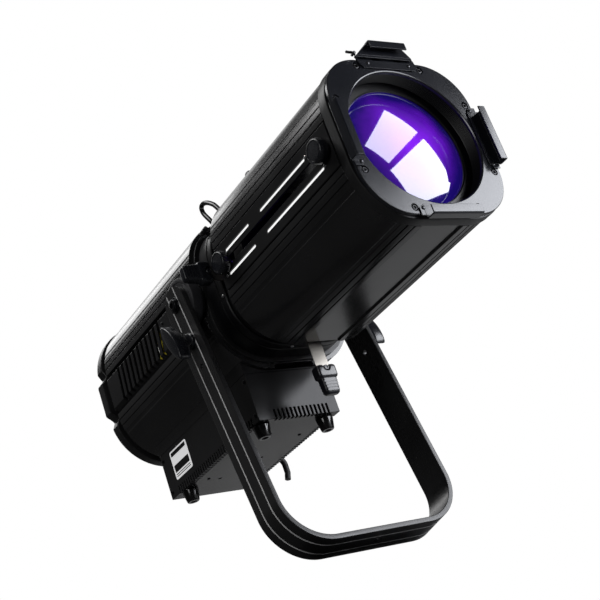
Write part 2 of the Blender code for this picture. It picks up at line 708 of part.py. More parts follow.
def build_lens(word, carriage, knob_y, radius, front, sag, ring_span):
    """A lens with its front bulge, and the ring that carries it along the barrel."""
    ring_front, ring_back = ring_span
    lip, outer, thick, rows = radius - 3.5, 83.0, 4.0, 5
    seat = front - sag * (1 - (lip / radius) ** 2) - GAP
    profile = [(lip, ring_front), (outer, ring_front), (outer, ring_back), (radius + GAP, ring_back),
               (radius + GAP, seat), (lip, seat)]
    holder = make(word + "_lens_holder", spin_y(profile), "powder_coat", carriage, (0, knob_y, 0))
    cut(holder, rod((-90, knob_y, 0), (-78, knob_y, 0), 3.4, 12), (0, knob_y, 0))
    glass = [(radius * i / rows, front - sag * (1 - (i / rows) ** 2)) for i in range(rows + 1)]
    glass += [(radius, front + thick), (radius * 0.6, front + thick + 3), (0, front + thick + 4)]
    make(word + "_lens", spin_y_solid(glass), "glass", carriage, (0, knob_y, 0))


def build_carriage_knob(name, knob_axis, knob_y):
    """A fluted clamping knob whose stud reaches through the rail into the lens ring."""
    rail_face = HALF - BARREL_CHANNEL + GAP + RAIL_THICK
    profile = [(79.5, 3.0), (rail_face + GAP, 3.0), (rail_face + GAP, 9.0), (rail_face + 3.5, 9.0),
               (rail_face + 3.5, 13.2), (rail_face + 12.2, 12.8), (rail_face + 13.6, 11.0)]
    count, rings = 20, []
    for x, radius in profile:
        ring = []
        for i in range(count):
            reach = radius * (0.94 if radius > 10 and i % 4 == 0 else 1.0)
            a = 2 * math.pi * i / count
            ring.append((-x, knob_y + reach * math.cos(a), reach * math.sin(a)))
        rings.append(ring)
    make(name, loft(rings), "plastic", knob_axis, (-HALF, knob_y, 0))


# --- driver box ---


def build_driver_box(lamp):
    w = BOX_WALL
    shell = make("driver_box", box(BOX_LEFT, BOX_RIGHT, BOX_FRONT, BOX_BACK, BOX_BOTTOM, BOX_TOP),
                 "powder_coat", lamp)
    cut(shell, box(BOX_LEFT + w, BOX_RIGHT - w, BOX_FRONT + w, BOX_BACK - w, BOX_BOTTOM + w, BOX_TOP + 5))
    # Cooling slots run through the lower edges on to the floor.
    slots = []
    for i in range(14):
        x = BOX_LEFT + 22.4 + 5.6 * i
        slots.append(box(x, x + 2.6, BOX_FRONT - 5, BOX_FRONT + 5, BOX_BOTTOM - 5, BOX_BOTTOM + 12))
    for i in range(36):
        y = BOX_FRONT + 14 + 5.5 * i
        slots.append(box(BOX_LEFT - 5, BOX_LEFT + 7, y, y + 2.4, BOX_BOTTOM - 5, BOX_BOTTOM + 9))
        slots.append(box(BOX_RIGHT - 7, BOX_RIGHT + 5, y, y + 2.4, BOX_BOTTOM - 5, BOX_BOTTOM + 9))
    cut(shell, join(*slots))
    # The lid is a saddle that follows the housing's underside.
    inner, reach, level = HALF - CORNER, CORNER + GAP, BOX_TOP + GAP
    saddle = [(BOX_LEFT, level), (BOX_RIGHT, level)]
    for side, end in ((1, BOX_RIGHT), (-1, BOX_LEFT)):
        turn = math.degrees(math.asin((abs(end) - inner) / reach))
        curve = arc(side * inner, -inner, reach, -90 + side * turn, -90, 8)
        saddle += curve if side > 0 else curve[::-1]
    make("driver_box_lid", along_y(saddle, BOX_FRONT, BOX_BACK), "powder_coat", lamp)
    floor = BOX_BOTTOM + w + GAP
    make("power_module", box(-50, 25, 70, 190, floor, floor + 34), "aluminium", lamp)
    low = BOX_BOTTOM - FOOT_TALL
    for name, (x, y) in FEET.items():
        rings = [[(x + px, y + py, z) for px, py in circle(r, 16)]
                 for z, r in ((BOX_BOTTOM - GAP, 10.2), (BOX_BOTTOM - 5, 9.4), (low, 7.4))]
        foot = make(name, loft(rings), "rubber", lamp)
        cut(foot, rod((x, y, low - 3), (x, y, low + 8), 3.6, 10))


def build_panel(lamp, button_axes):
    """The control panel on the driver box's back: display recess, four buttons, two data sockets."""
    panel = make("control_panel", box(-62, 39, BOX_BACK + GAP, PANEL_FACE, -151, -104), "powder_coat", lamp)
    cut(panel, box(-54, -10, PANEL_FACE - 0.9, PANEL_FACE + 5, -124, -108))
    wells = [rod((x, PANEL_FACE - 1.3, BUTTON_Z), (x, PANEL_FACE + 5, BUTTON_Z), 3.9) for x in BUTTON_X]
    cut(panel, join(*wells))
    cap_back, cap_face = PANEL_FACE + BUTTON_PROUD - 1.9, PANEL_FACE + BUTTON_PROUD
    for i, (x, axis) in enumerate(zip(BUTTON_X, button_axes)):
        cap = rod((x, cap_back, BUTTON_Z), (x, cap_face, BUTTON_Z), 3.5)
        make("button_%d" % (i + 1), cap, "plastic", axis, (x, PANEL_FACE, BUTTON_Z))
    for name, x in SOCKET_X.items():
        rings = [[(x + px, y, SOCKET_Z + pz) for px, pz in circle(r, 20)]
                 for y, r in ((PANEL_FACE + GAP, 11), (PANEL_FACE + 3, 11), (PANEL_FACE + 4, 10))]
        socket = make(name, loft(rings), "plastic", lamp)
        cut(socket, rod((x, PANEL_FACE + 1.6, SOCKET_Z), (x, PANEL_FACE + 9, SOCKET_Z), 7.6))


def build_cord(lamp):
    """The short end of the power cord, with its moulded collar on the driver box's left side."""
    y, z = 164.0, -139.0
    start, cord, bend = BOX_RIGHT + GAP, 3.8, 12.0
    # (x, z, radius): collar, strain relief, then the cord bends down.
    path = [(start, z, 9.5), (start + 4, z, 9.5), (start + 4.4, z, 7.6), (start + 14, z, 6.2),
            (start + 14.5, z, cord)]
    x0 = start + 17
    for i in range(7):
        a = math.radians(90 * i / 6)
        path.append((x0 + bend * math.sin(a), z - bend * (1 - math.cos(a)), cord))
    path += [(x0 + bend, z - bend - 10, cord), (x0 + bend - 3, z - bend - 18, cord)]
    rings = []
    for i, (x, level, radius) in enumerate(path):
        before, after = path[max(i - 1, 0)], path[min(i + 1, len(path) - 1)]
        dx, dz = after[0] - before[0], after[1] - before[1]
        size = math.hypot(dx, dz)
        rings.append([(x - dz / size * a, y + b, level + dx / size * a) for a, b in circle(radius, 12)])
    make("power_cord", loft(rings), "rubber", lamp)


# --- assembly ---


def main():
    clear_scene()
    centre = (0, AXIS_Y, AXIS_Z)
    root = axis_empty("yoke_root", None, centre, -YOKE_SWING)
    lamp = axis_empty("tilt_axis", None, centre)
    build_yoke(root)
    build_tilt_knob("tilt_knob_right", -1, root)
    build_tilt_knob("tilt_knob_left", 1, root)
    build_pivots(lamp)
    build_housing(lamp)
    build_rear_cap(lamp)
    build_engine(lamp)
    build_fan(lamp, axis_empty("fan_axis", lamp, (0, 219, 0)))
    build_gate(lamp, axis_empty("barrel_lock_axis", lamp, LOCK_AT))
    build_driver_box(lamp)
    build_panel(lamp, [axis_empty("button_%d_axis" % (i + 1), lamp, (x, PANEL_FACE, BUTTON_Z))
                       for i, x in enumerate(BUTTON_X)])
    build_cord(lamp)
    barrel = axis_empty("barrel_axis", lamp)
    build_shutter_box(barrel)
    for side in SHUTTER_TURN:
        build_shutter(side, axis_empty("shutter_%s_slide" % side, barrel))
    build_barrel(barrel)
    build_front(barrel)
    build_holders(barrel)
    build_retainer(barrel, axis_empty("retainer_axis", barrel, RETAINER_AT),
                   axis_empty("latch_axis", barrel, LATCH_AT))
    for word, name, knob_y, radius, front, sag, ring_span in (
            ("front", "focus_knob", FOCUS_KNOB_Y, FRONT_LENS, -314.0, 15.0, (-318.0, -294.0)),
            ("rear", "zoom_knob", ZOOM_KNOB_Y, REAR_LENS, -104.0, 10.0, (-110.0, -90.5))):
        carriage = axis_empty(word + "_carriage", barrel, (0, knob_y, 0))
        build_lens(word, carriage, knob_y, radius, front, sag, ring_span)
        build_carriage_knob(name, axis_empty(name + "_axis", carriage, (-HALF, 0, 0)), knob_y)


main()
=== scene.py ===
"""The looks of an ellipsoidal spotlight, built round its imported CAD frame.

Pieces are drawn in lamp millimetres, measured from the tilt axis: -Y is the way the light leaves,
+X the lamp's own left side, +Z up. `piece` scales them to metres and puts them in the row frame.
"""

import json
import math

import bmesh
import bpy
from mathutils import Matrix, Vector


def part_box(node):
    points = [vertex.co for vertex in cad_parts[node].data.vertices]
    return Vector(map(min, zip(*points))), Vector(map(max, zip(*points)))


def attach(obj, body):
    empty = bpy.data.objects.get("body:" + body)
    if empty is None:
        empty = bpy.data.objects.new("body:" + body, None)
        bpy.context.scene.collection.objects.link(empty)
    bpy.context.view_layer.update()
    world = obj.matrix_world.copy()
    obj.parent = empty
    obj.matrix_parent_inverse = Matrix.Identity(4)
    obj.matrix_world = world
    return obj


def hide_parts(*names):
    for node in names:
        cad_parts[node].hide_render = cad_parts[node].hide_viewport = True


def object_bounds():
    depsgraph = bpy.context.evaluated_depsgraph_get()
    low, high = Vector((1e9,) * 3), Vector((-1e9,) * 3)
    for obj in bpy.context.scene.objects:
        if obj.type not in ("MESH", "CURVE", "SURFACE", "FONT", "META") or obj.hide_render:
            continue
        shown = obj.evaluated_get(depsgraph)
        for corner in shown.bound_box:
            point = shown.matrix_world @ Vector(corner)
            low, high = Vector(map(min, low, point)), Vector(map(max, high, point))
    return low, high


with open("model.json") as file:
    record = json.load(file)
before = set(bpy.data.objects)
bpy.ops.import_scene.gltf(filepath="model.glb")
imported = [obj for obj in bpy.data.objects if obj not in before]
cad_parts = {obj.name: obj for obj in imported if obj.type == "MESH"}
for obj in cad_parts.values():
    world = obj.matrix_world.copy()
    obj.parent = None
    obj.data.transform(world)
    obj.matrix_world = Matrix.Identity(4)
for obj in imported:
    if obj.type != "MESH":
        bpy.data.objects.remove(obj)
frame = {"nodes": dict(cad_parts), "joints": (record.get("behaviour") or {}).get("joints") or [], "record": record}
CAD_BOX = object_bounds()

MM = 0.001
GAP = 0.3
JOINTS = {joint["name"]: joint for joint in frame["joints"]}
MOUNTS = {mount["name"]: mount for mount in frame["record"]["mounts"]}
AXIS = Vector(JOINTS["tilt"]["pos_m"])
CLAMP_NORMAL = MOUNTS["clamp_face"]["axis"]
YOKE_SWING = math.atan2(-CLAMP_NORMAL[1], -CLAMP_NORMAL[2])


def span(node):
    """A CAD node's lowest and highest corners, in lamp millimetres."""
    low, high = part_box(node)
    return (low - AXIS) / MM, (high - AXIS) / MM


def joint_at(name):
    """Where a hinge stands, in lamp millimetres."""
    return (Vector(JOINTS[name]["pos_m"]) - AXIS) / MM


# --- materials -------------------------------------------------------------------------------


def new_material(name):
    material = bpy.data.materials.new(name)
    material.use_nodes = True
    tree = material.node_tree
    return material, tree, tree.nodes["Principled BSDF"]


def empty_tree(owner):
    """The node tree of a material or world, without its default nodes."""
    owner.use_nodes = True
    owner.node_tree.nodes.clear()
    return owner.node_tree


def node(tree, kind, inputs=(), **settings):
    made = tree.nodes.new(kind)
    for key, value in settings.items():
        setattr(made, key, value)
    for key, value in dict(inputs).items():
        if isinstance(value, bpy.types.NodeSocket):
            tree.links.new(value, made.inputs[key])
        else:
            made.inputs[key].default_value = value
    return made


def object_space(tree, stretch=(1, 1, 1)):
    """Object coordinates in metres, squeezed along an axis to draw out a grain."""
    place = node(tree, "ShaderNodeTexCoord")
    return node(tree, "ShaderNodeMapping", {"Vector": place.outputs["Object"], "Scale": stretch}).outputs[0]


def noise(tree, vector, scale, detail=3.0, roughness=0.5):
    made = node(tree, "ShaderNodeTexNoise", {"Vector": vector, "Scale": scale, "Detail": detail,
                                             "Roughness": roughness})
    return made.outputs["Fac"]


def remap(tree, value, low, high, from_low=0.3, from_high=0.7):
    made = node(tree, "ShaderNodeMapRange", {"Value": value, "From Min": from_low, "From Max": from_high,
                                             "To Min": low, "To Max": high})
    return made.outputs["Result"]


def mix_colour(tree, share, first, second):
    made = node(tree, "ShaderNodeMix", data_type="RGBA")
    for socket, value in ((made.inputs[0], share), (made.inputs[6], first), (made.inputs[7], second)):
        if isinstance(value, bpy.types.NodeSocket):
            tree.links.new(value, socket)
        else:
            socket.default_value = value if isinstance(value, float) else (*value, 1.0)
    return made.outputs[2]


def surface(name, colour, tone, roughness, metallic=0.0, grain=500.0, stretch=(1, 1, 1), bump=0.1,
            depth=0.0002, specular=0.5, coat=0.0, dust=0.0):
    """A painted, anodised, moulded or bare surface.

    colour and tone are the two ends of a slow colour variation, roughness is its (low, high) range,
    grain is the texture's scale per metre and bump how strongly it shows."""
    material, tree, shader = new_material(name)
    plain = object_space(tree)
    slow = noise(tree, plain, 14.0, 4.0)
    fine = noise(tree, object_space(tree, stretch), grain, 3.0, 0.6)
    colour_mix = mix_colour(tree, remap(tree, slow, 0.0, 1.0), colour, tone)
    if dust:
        speck = node(tree, "ShaderNodeTexVoronoi", {"Vector": plain, "Scale": 420.0})
        spots = remap(tree, speck.outputs["Distance"], dust, 0.0, 0.02, 0.09)
        colour_mix = mix_colour(tree, spots, colour_mix, (0.35, 0.35, 0.36))
    tree.links.new(colour_mix, shader.inputs["Base Color"])
    both = node(tree, "ShaderNodeMath", {0: slow, 1: fine}, operation="ADD").outputs[0]
    tree.links.new(remap(tree, both, roughness[0], roughness[1], 0.7, 1.3), shader.inputs["Roughness"])
    shader.inputs["Metallic"].default_value = metallic
    shader.inputs["Specular IOR Level"].default_value = specular
    shader.inputs["Coat Weight"].default_value = coat
    shader.inputs["Coat Roughness"].default_value = 0.12
    ridges = node(tree, "ShaderNodeBump", {"Height": fine, "Strength": bump, "Distance": depth})
    tree.links.new(ridges.outputs[0], shader.inputs["Normal"])
    return material


def coated_glass_with_painted_glow(name, radius):
    """Coated glass, mirror-smooth: deep blue at the rim and violet towards the middle. The same tint is also given
    as emission, so the glass glows by itself: painted glow.
    """
    material, tree, shader = new_material(name)
    place = object_space(tree)
    parts = node(tree, "ShaderNodeSeparateXYZ", {"Vector": place}).outputs
    across = node(tree, "ShaderNodeCombineXYZ", {"X": parts["X"], "Y": 0.0, "Z": parts["Z"]}).outputs[0]
    away = node(tree, "ShaderNodeVectorMath", {0: across, 1: (AXIS.x, 0, AXIS.z)}, operation="DISTANCE")
    ring = remap(tree, away.outputs["Value"], 0.0, 1.0, 0.1 * radius * MM, 0.9 * radius * MM)
    cloud = noise(tree, place, 30.0, 3.0)
    share = node(tree, "ShaderNodeMath", {0: ring, 1: remap(tree, cloud, -0.12, 0.12)}, operation="ADD",
                 use_clamp=True).outputs[0]
    coloured = mix_colour(tree, share, (0.26, 0.015, 0.95), (0.012, 0.004, 0.16))
    tree.links.new(coloured, shader.inputs["Base Color"])
    shader.inputs["Metallic"].default_value = 0.08
    shader.inputs["Roughness"].default_value = 0.06
    shader.inputs["Coat Weight"].default_value = 1.0
    shader.inputs["Coat IOR"].default_value = 2.0
    shader.inputs["Coat Roughness"].default_value = 0.015
    # The tint glows as emission: painted glow, not a lamp.
    tree.links.new(coloured, shader.inputs["Emission Color"])
    shader.inputs["Emission Strength"].default_value = 0.45
    haze = node(tree, "ShaderNodeBump", {"Height": noise(tree, place, 900.0), "Strength": 0.02,
                                         "Distance": 0.0001})
    tree.links.new(haze.outputs[0], shader.inputs["Normal"])
    return material


def glowing(name, colour, strength, roughness=0.5):
    """A pale surface whose colour is also given as emission, so that it glows by itself."""
    material, tree, shader = new_material(name)
    cloud = remap(tree, noise(tree, object_space(tree), 60.0), 0.9, 1.0)
    shade = mix_colour(tree, cloud, tuple(0.85 * c for c in colour), colour)
    tree.links.new(shade, shader.inputs["Base Color"])
    tree.links.new(shade, shader.inputs["Emission Color"])
    shader.inputs["Emission Strength"].default_value = strength
    shader.inputs["Roughness"].default_value = roughness
    return material


BLACK, SOFT_BLACK = (0.013, 0.013, 0.0135), (0.018, 0.018, 0.019)
M = {
    "anodised": surface("black_anodised", BLACK, SOFT_BLACK, (0.16, 0.26), grain=2600,
                        stretch=(1, 0.012, 1), bump=0.035),
    "yoke": surface("black_anodised_bar", BLACK, SOFT_BLACK, (0.24, 0.34), grain=2200,
                    stretch=(1, 1, 0.05), bump=0.03, specular=0.4, dust=0.10),
    "powder": surface("black_powder_coat", BLACK, SOFT_BLACK, (0.17, 0.25), grain=1500, bump=0.05,
                      specular=0.16, dust=0.08),
    "cast": surface("black_casting", (0.003, 0.003, 0.0035), SOFT_BLACK, (0.34, 0.48), grain=1100,
                    bump=0.15, specular=0.4),
    "disc": surface("grey_friction_disc", (0.012, 0.012, 0.014), (0.018, 0.018, 0.021), (0.42, 0.54),
                    grain=1300, bump=0.12),
    "plate": surface("dark_satin_plate", (0.010, 0.011, 0.015), (0.015, 0.016, 0.021), (0.16, 0.22),
                     metallic=0.2, grain=1800, bump=0.04, specular=0.6, dust=0.1),
    # Lighter metal for the front plate's chamfers: painted highlight along the rims.
    "edge": surface("edge_painted_highlight", (0.05, 0.05, 0.055), (0.08, 0.08, 0.085), (0.2, 0.3),
                    metallic=0.8, grain=2500, bump=0.05),
    # Near-white walls for the yoke's grooves: painted highlight, as if the grooves caught the light.
    "groove": surface("groove_painted_highlight", (0.66, 0.66, 0.66), (0.80, 0.80, 0.80), (0.3, 0.4),
                      metallic=0.2, grain=2500, bump=0.03),
    "blade": surface("heated_steel", (0.20, 0.19, 0.17), (0.34, 0.32, 0.29), (0.30, 0.44),
                     metallic=0.9, grain=2600, stretch=(1, 1, 0.03), bump=0.12),
    "plastic": surface("black_plastic", (0.006, 0.0065, 0.009), (0.010, 0.011, 0.015), (0.22, 0.32),
                       grain=1700, bump=0.06),
    "gloss": surface("glossy_black_plastic", (0.003, 0.003, 0.003), (0.005, 0.005, 0.005), (0.08, 0.16),
                     grain=900, bump=0.03),
    "rubber": surface("black_rubber", (0.006, 0.006, 0.006), (0.010, 0.010, 0.010), (0.5, 0.65),
                      grain=900, bump=0.15),
    "steel": surface("brushed_steel", (0.50, 0.49, 0.47), (0.60, 0.59, 0.57), (0.26, 0.42),
                     metallic=1.0, grain=2600, stretch=(1, 1, 0.03), bump=0.16),
    "screw": surface("black_oxide_steel", (0.02, 0.02, 0.022), (0.035, 0.035, 0.038), (0.22, 0.36),
                     metallic=0.8, grain=1500),
    "rivet": surface("dark_rivet", (0.06, 0.06, 0.066), (0.09, 0.09, 0.095), (0.2, 0.3),
                     metallic=0.7, grain=1500, bump=0.08),
    "bright_screw": surface("zinc_screw", (0.50, 0.50, 0.51), (0.62, 0.62, 0.62), (0.2, 0.34),
                            metallic=1.0, grain=1500, bump=0.08),
    "aluminium": surface("plain_aluminium", (0.50, 0.51, 0.52), (0.62, 0.62, 0.63), (0.34, 0.48),
                         metallic=1.0, grain=1800, stretch=(1, 0.05, 1), bump=0.12),
    "dark": surface("flat_black_inside", (0.0015, 0.0015, 0.002), (0.003, 0.003, 0.004), (0.28, 0.42),
                    grain=1200, bump=0.08, specular=0.35),
    # Darker than the casting, for the gate between barrel and housing, which sits in shade: painted shade.
    "painted_shade_casting": surface("black_casting_painted_shade", (0.0015, 0.0015, 0.002), (0.003, 0.003, 0.004), (0.3, 0.45),
                         grain=1100, specular=0.3),
    # The printed label also glows by emission: painted glow.
    "label": glowing("printed_label_painted_glow", (0.92, 0.92, 0.93), 0.35),
    "yellow": surface("yellow_wire", (0.62, 0.50, 0.03), (0.75, 0.62, 0.05), (0.35, 0.5), grain=700),
    "display": surface("display_window", (0.010, 0.016, 0.020), (0.014, 0.022, 0.028), (0.05, 0.09),
                       grain=300, bump=0.01, coat=0.6),
    "lens": coated_glass_with_painted_glow("front_lens_coating_painted_glow", 73.0),
    "glass": coated_glass_with_painted_glow("rear_lens_coating_painted_glow", 60.0),
    # The white scale strips glow by emission: painted glow.
    "scale": glowing("white_scale_strip_painted_glow", (1.0, 1.0, 1.0), 0.9),
    "emitter": glowing("phosphor_array", (0.95, 0.78, 0.22), 0.25),
}


# --- shape helpers ---------------------------------------------------------------------------


def loft(rings, ends="cap", looks=None, bands=None):
    """Joins rings of equal length; ends are capped, or joined to each other ("loop").

    looks gives a material index for each point of the ring, bands one for each pair of rings."""
    bm = bmesh.new()
    rows = [[bm.verts.new(point) for point in ring] for ring in rings]
    count = len(rows[0])
    pairs = list(zip(rows, rows[1:]))
    if ends == "loop":
        pairs.append((rows[-1], rows[0]))
    for row, (low, high) in enumerate(pairs):
        for i in range(count):
            j = (i + 1) % count
            face = bm.faces.new((low[i], low[j], high[j], high[i]))
            if looks or bands:
                face.material_index = looks[i] if looks else bands[row]
    if ends == "cap":
        bm.faces.new(rows[0])
        bm.faces.new(reversed(rows[-1]))
    return bm


def arc(cx, cy, radius, start, end, steps):
    angles = [math.radians(start + (end - start) * i / steps) for i in range(steps + 1)]
    return [(cx + radius * math.cos(a), cy + radius * math.sin(a)) for a in angles]


def circle(radius, steps=48, cx=0.0, cy=0.0):
    return arc(cx, cy, radius, 0, 360 - 360 / steps, steps - 1)


def rounded_box(x0, x1, y0, y1, radius, steps=5):
    return (arc(x1 - radius, y1 - radius, radius, 0, 90, steps)
            + arc(x0 + radius, y1 - radius, radius, 90, 180, steps)
            + arc(x0 + radius, y0 + radius, radius, 180, 270, steps)
            + arc(x1 - radius, y0 + radius, radius, 270, 360, steps))


def along_x(outline, x0, x1):
    return loft([[(x, y, z) for y, z in outline] for x in (x0, x1)])


def along_y(outline, y0, y1):
    return loft([[(x, y, z) for x, z in outline] for y in (y0, y1)])


def along_z(outline, z0, z1):
    return loft([[(x, y, z) for x, y in outline] for z in (z0, z1)])


def block(low, high, radius=0.0):
    if radius:
        return along_y(rounded_box(low[0], high[0], low[2], high[2], radius), low[1], high[1])
    return along_z([(low[0], low[1]), (high[0], low[1]), (high[0], high[1]), (low[0], high[1])],
                   low[2], high[2])


def square_reach(half, corner, a):
    """How far a rounded square reaches from its centre in direction a."""
    c, s = abs(math.cos(a)), abs(math.sin(a))
    inner = half - corner
    if half * min(c, s) <= inner * max(c, s):
        return half / max(c, s)
    middle = inner * (c + s)
    return middle + math.sqrt(middle ** 2 - 2 * inner ** 2 + corner ** 2)


def square_ring(profile, count=160, bands=None):
    """A closed ring round the lamp axis. Each (y, half, corner) is a rounded square; a corner equal
    to the half makes it a circle."""
    angles = [2 * math.pi * i / count for i in range(count)]
    rings = []
    for y, half, corner in profile:
        reach = [square_reach(half, min(corner, half - 1e-6), a) for a in angles]
        rings.append([(r * math.cos(a), y, r * math.sin(a)) for r, a in zip(reach, angles)])
    return loft(rings, "loop", bands=bands)


def revolve(profile, steps=64, ends="cap", flutes=0, depth=0.0):
    """Turns (radius, y) points round the Y axis; flutes dip the rim of every point marked by a third
    value."""
    rings = []
    for radius, y, *fluted in profile:
        ring = []
        for i in range(steps):
            a = 2 * math.pi * i / steps
            dip = depth * (0.5 - 0.5 * math.cos(flutes * a)) * fluted[0] if fluted else 0.0
            ring.append(((radius - dip) * math.cos(a), y, (radius - dip) * math.sin(a)))
        rings.append(ring)
    return loft(rings, ends)


def facing(bm, direction, at=(0, 0, 0)):
    """Turns a shape drawn along +Y to a direction and puts it in place."""
    turn = Vector((0, 1, 0)).rotation_difference(Vector(direction)).to_matrix().to_4x4()
    bm.transform(Matrix.Translation(Vector(at)) @ turn)
    return bm


def turned(bm, degrees, axis="Y", about=(0, 0, 0)):
    place = Matrix.Translation(Vector(about))
    bm.transform(place @ Matrix.Rotation(math.radians(degrees), 4, axis) @ place.inverted())
    return bm


def in_yoke(bm):
    """From yoke coordinates, square with the arms, to the lamp's."""
    return turned(bm, -math.degrees(YOKE_SWING), "X")


def merge(makers):
    mesh = bpy.data.meshes.new("merge")
    whole = bmesh.new()
    for maker in makers:
        bmesh.ops.recalc_face_normals(maker, faces=maker.faces)
        maker.to_mesh(mesh)
        whole.from_mesh(mesh)
        maker.free()
    bpy.data.meshes.remove(mesh)
    return whole


def carve(solid, *cutters):
    """Takes closed cutters out of a closed solid."""
    items = []
    for maker in (solid, *cutters):
        bmesh.ops.recalc_face_normals(maker, faces=maker.faces)
        mesh = bpy.data.meshes.new("carve")
        maker.to_mesh(mesh)
        maker.free()
        items.append(bpy.data.objects.new("carve", mesh))
        bpy.context.scene.collection.objects.link(items[-1])
    for cutter in items[1:]:
        cut = items[0].modifiers.new("cut", "BOOLEAN")
        cut.operation, cut.solver, cut.object = "DIFFERENCE", "EXACT", cutter
    bpy.context.view_layer.update()
    result = bmesh.new()
    result.from_object(items[0], bpy.context.evaluated_depsgraph_get())
    for item in items:
        bpy.data.meshes.remove(item.data)
    return result


def bent(corners, thick, radius, steps=5):
    """The outline of a folded sheet: its middle line's corners, rounded, with the sheet either side."""
    corners = [Vector(c) for c in corners]
    path = [corners[0]]
    for before, here, after in zip(corners, corners[1:], corners[2:]):
        back, ahead = (before - here).normalized(), (after - here).normalized()
        half = back.angle(ahead) / 2
        middle = here + (back + ahead).normalized() * radius / math.sin(half)
        start, end = here + back * radius / math.tan(half), here + ahead * radius / math.tan(half)
        for i in range(steps + 1):
            spoke = (start - middle).lerp(end - middle, i / steps)
            path.append(middle + spoke.normalized() * radius)
    path.append(corners[-1])
    sides = [[], []]
    for i, point in enumerate(path):
        along = (path[min(i + 1, len(path) - 1)] - path[max(i - 1, 0)]).normalized()
        across = Vector((-along.y, along.x)) * thick / 2
        sides[0].append(point + across)
        sides[1].append(point - across)
    return [tuple(p) for p in sides[0] + sides[1][::-1]]


def pipe(path, radius, steps=20):
    """A round bar along a path; radius is one value or one for each point."""
    points = [Vector(p) for p in path]
    radii = radius if isinstance(radius, list) else [radius] * len(points)
    turn = (points[1] - points[0]).to_track_quat("Z", "Y")
    last = (points[1] - points[0]).normalized()
    rings = []
    for i, point in enumerate(points):
        ahead = (points[min(i + 1, len(points) - 1)] - points[max(i - 1, 0)]).normalized()
        turn = last.rotation_difference(ahead) @ turn
        last = ahead
        rings.append([point + turn @ Vector((x, y, 0)) for x, y in circle(radii[i], steps)])
    return loft(rings)


def smooth_path(points, steps=6):
    """More points along a path, on a Catmull-Rom curve."""
    points = [Vector(p) for p in points]
    path = []
    for i in range(len(points) - 1):
        p0, p1 = points[max(i - 1, 0)], points[i]
        p2, p3 = points[i + 1], points[min(i + 2, len(points) - 1)]
        for step in range(steps):
            t = step / steps
            path.append(0.5 * (2 * p1 + (p2 - p0) * t + (2 * p0 - 5 * p1 + 4 * p2 - p3) * t * t
                               + (3 * p1 - p0 - 3 * p2 + p3) * t ** 3))
    return path + [points[-1]]


def screw(at, direction, radius=3.0, height=1.8, drive="hex"):
    """A screw head: a domed cap with a socket, standing on a face."""
    socket = radius * 0.5
    ring = []
    for i in range(24):
        a = 2 * math.pi * i / 24
        if drive == "hex":
            reach = socket * math.cos(math.pi / 6) / math.cos((a % (math.pi / 3)) - math.pi / 6)
        else:
            reach = socket * (1.15 if i % 6 in (0, 1, 5) else 0.42)
        ring.append((reach * math.cos(a), reach * math.sin(a)))
    rings = [[(x, y, z) for x, z in circle(r, 24)]
             for r, y in ((radius, 0.0), (radius, height * 0.5), (radius * 0.9, height * 0.85),
                          (radius * 0.72, height))]
    rings += [[(x, y, z) for x, z in ring] for y in (height, height * 0.25)]
    return facing(loft(rings), direction, at)


def piece(name, bm, look, body, stands_for=(), bevel=0.0, angle=30, segments=2, extra=()):
    """One visual piece from a bmesh in lamp millimetres."""
    bmesh.ops.recalc_face_normals(bm, faces=bm.faces)
    bm.transform(Matrix.Translation(AXIS) @ Matrix.Scale(MM, 4))
    mesh = bpy.data.meshes.new(name)
    bm.to_mesh(mesh)
    bm.free()
    mesh.shade_smooth()
    mesh.set_sharp_from_angle(angle=math.radians(angle))
    for each in (look, *extra):
        mesh.materials.append(M[each])
    item = bpy.data.objects.new(name, mesh)
    bpy.context.scene.collection.objects.link(item)
    if bevel:
        soften(item, bevel, angle, segments)
    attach(item, body)
    if stands_for:
        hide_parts(*([stands_for] if isinstance(stands_for, str) else stands_for))
    return item


def soften(item, width, angle=30, segments=2):
    """Small rounded edges, so that they catch the light."""
    bevel = item.modifiers.new("edges", "BEVEL")
    bevel.width, bevel.segments = width * MM, segments
    bevel.limit_method, bevel.angle_limit = "ANGLE", math.radians(angle)
    bevel.miter_outer = "MITER_ARC"
    normals = item.modifiers.new("normals", "WEIGHTED_NORMAL")
    normals.keep_sharp, normals.weight = False, 60


def dress(node_name, look, width=0.0):
    """A CAD node that stays: its material, welded and softened edges."""
    item = frame["nodes"][node_name]
    item.data.materials.clear()
    item.data.materials.append(M[look])
    if width:
        weld = item.modifiers.new("weld", "WELD")
        weld.merge_threshold = 1e-6
        soften(item, width)


# --- front: plate, bezel, holders ------------------------------------------------------------

PLATE_LOW, PLATE_HIGH = span("front_plate")
PLATE_FRONT, PLATE_BACK, PLATE_HALF = PLATE_LOW.y, PLATE_HIGH.y, PLATE_HIGH.x
PLATE_CORNER = 52.5
OPENING = 80.0
SCREW_ACROSS, SCREW_OUT = 42.0, 85.0
SHEET = 1.5


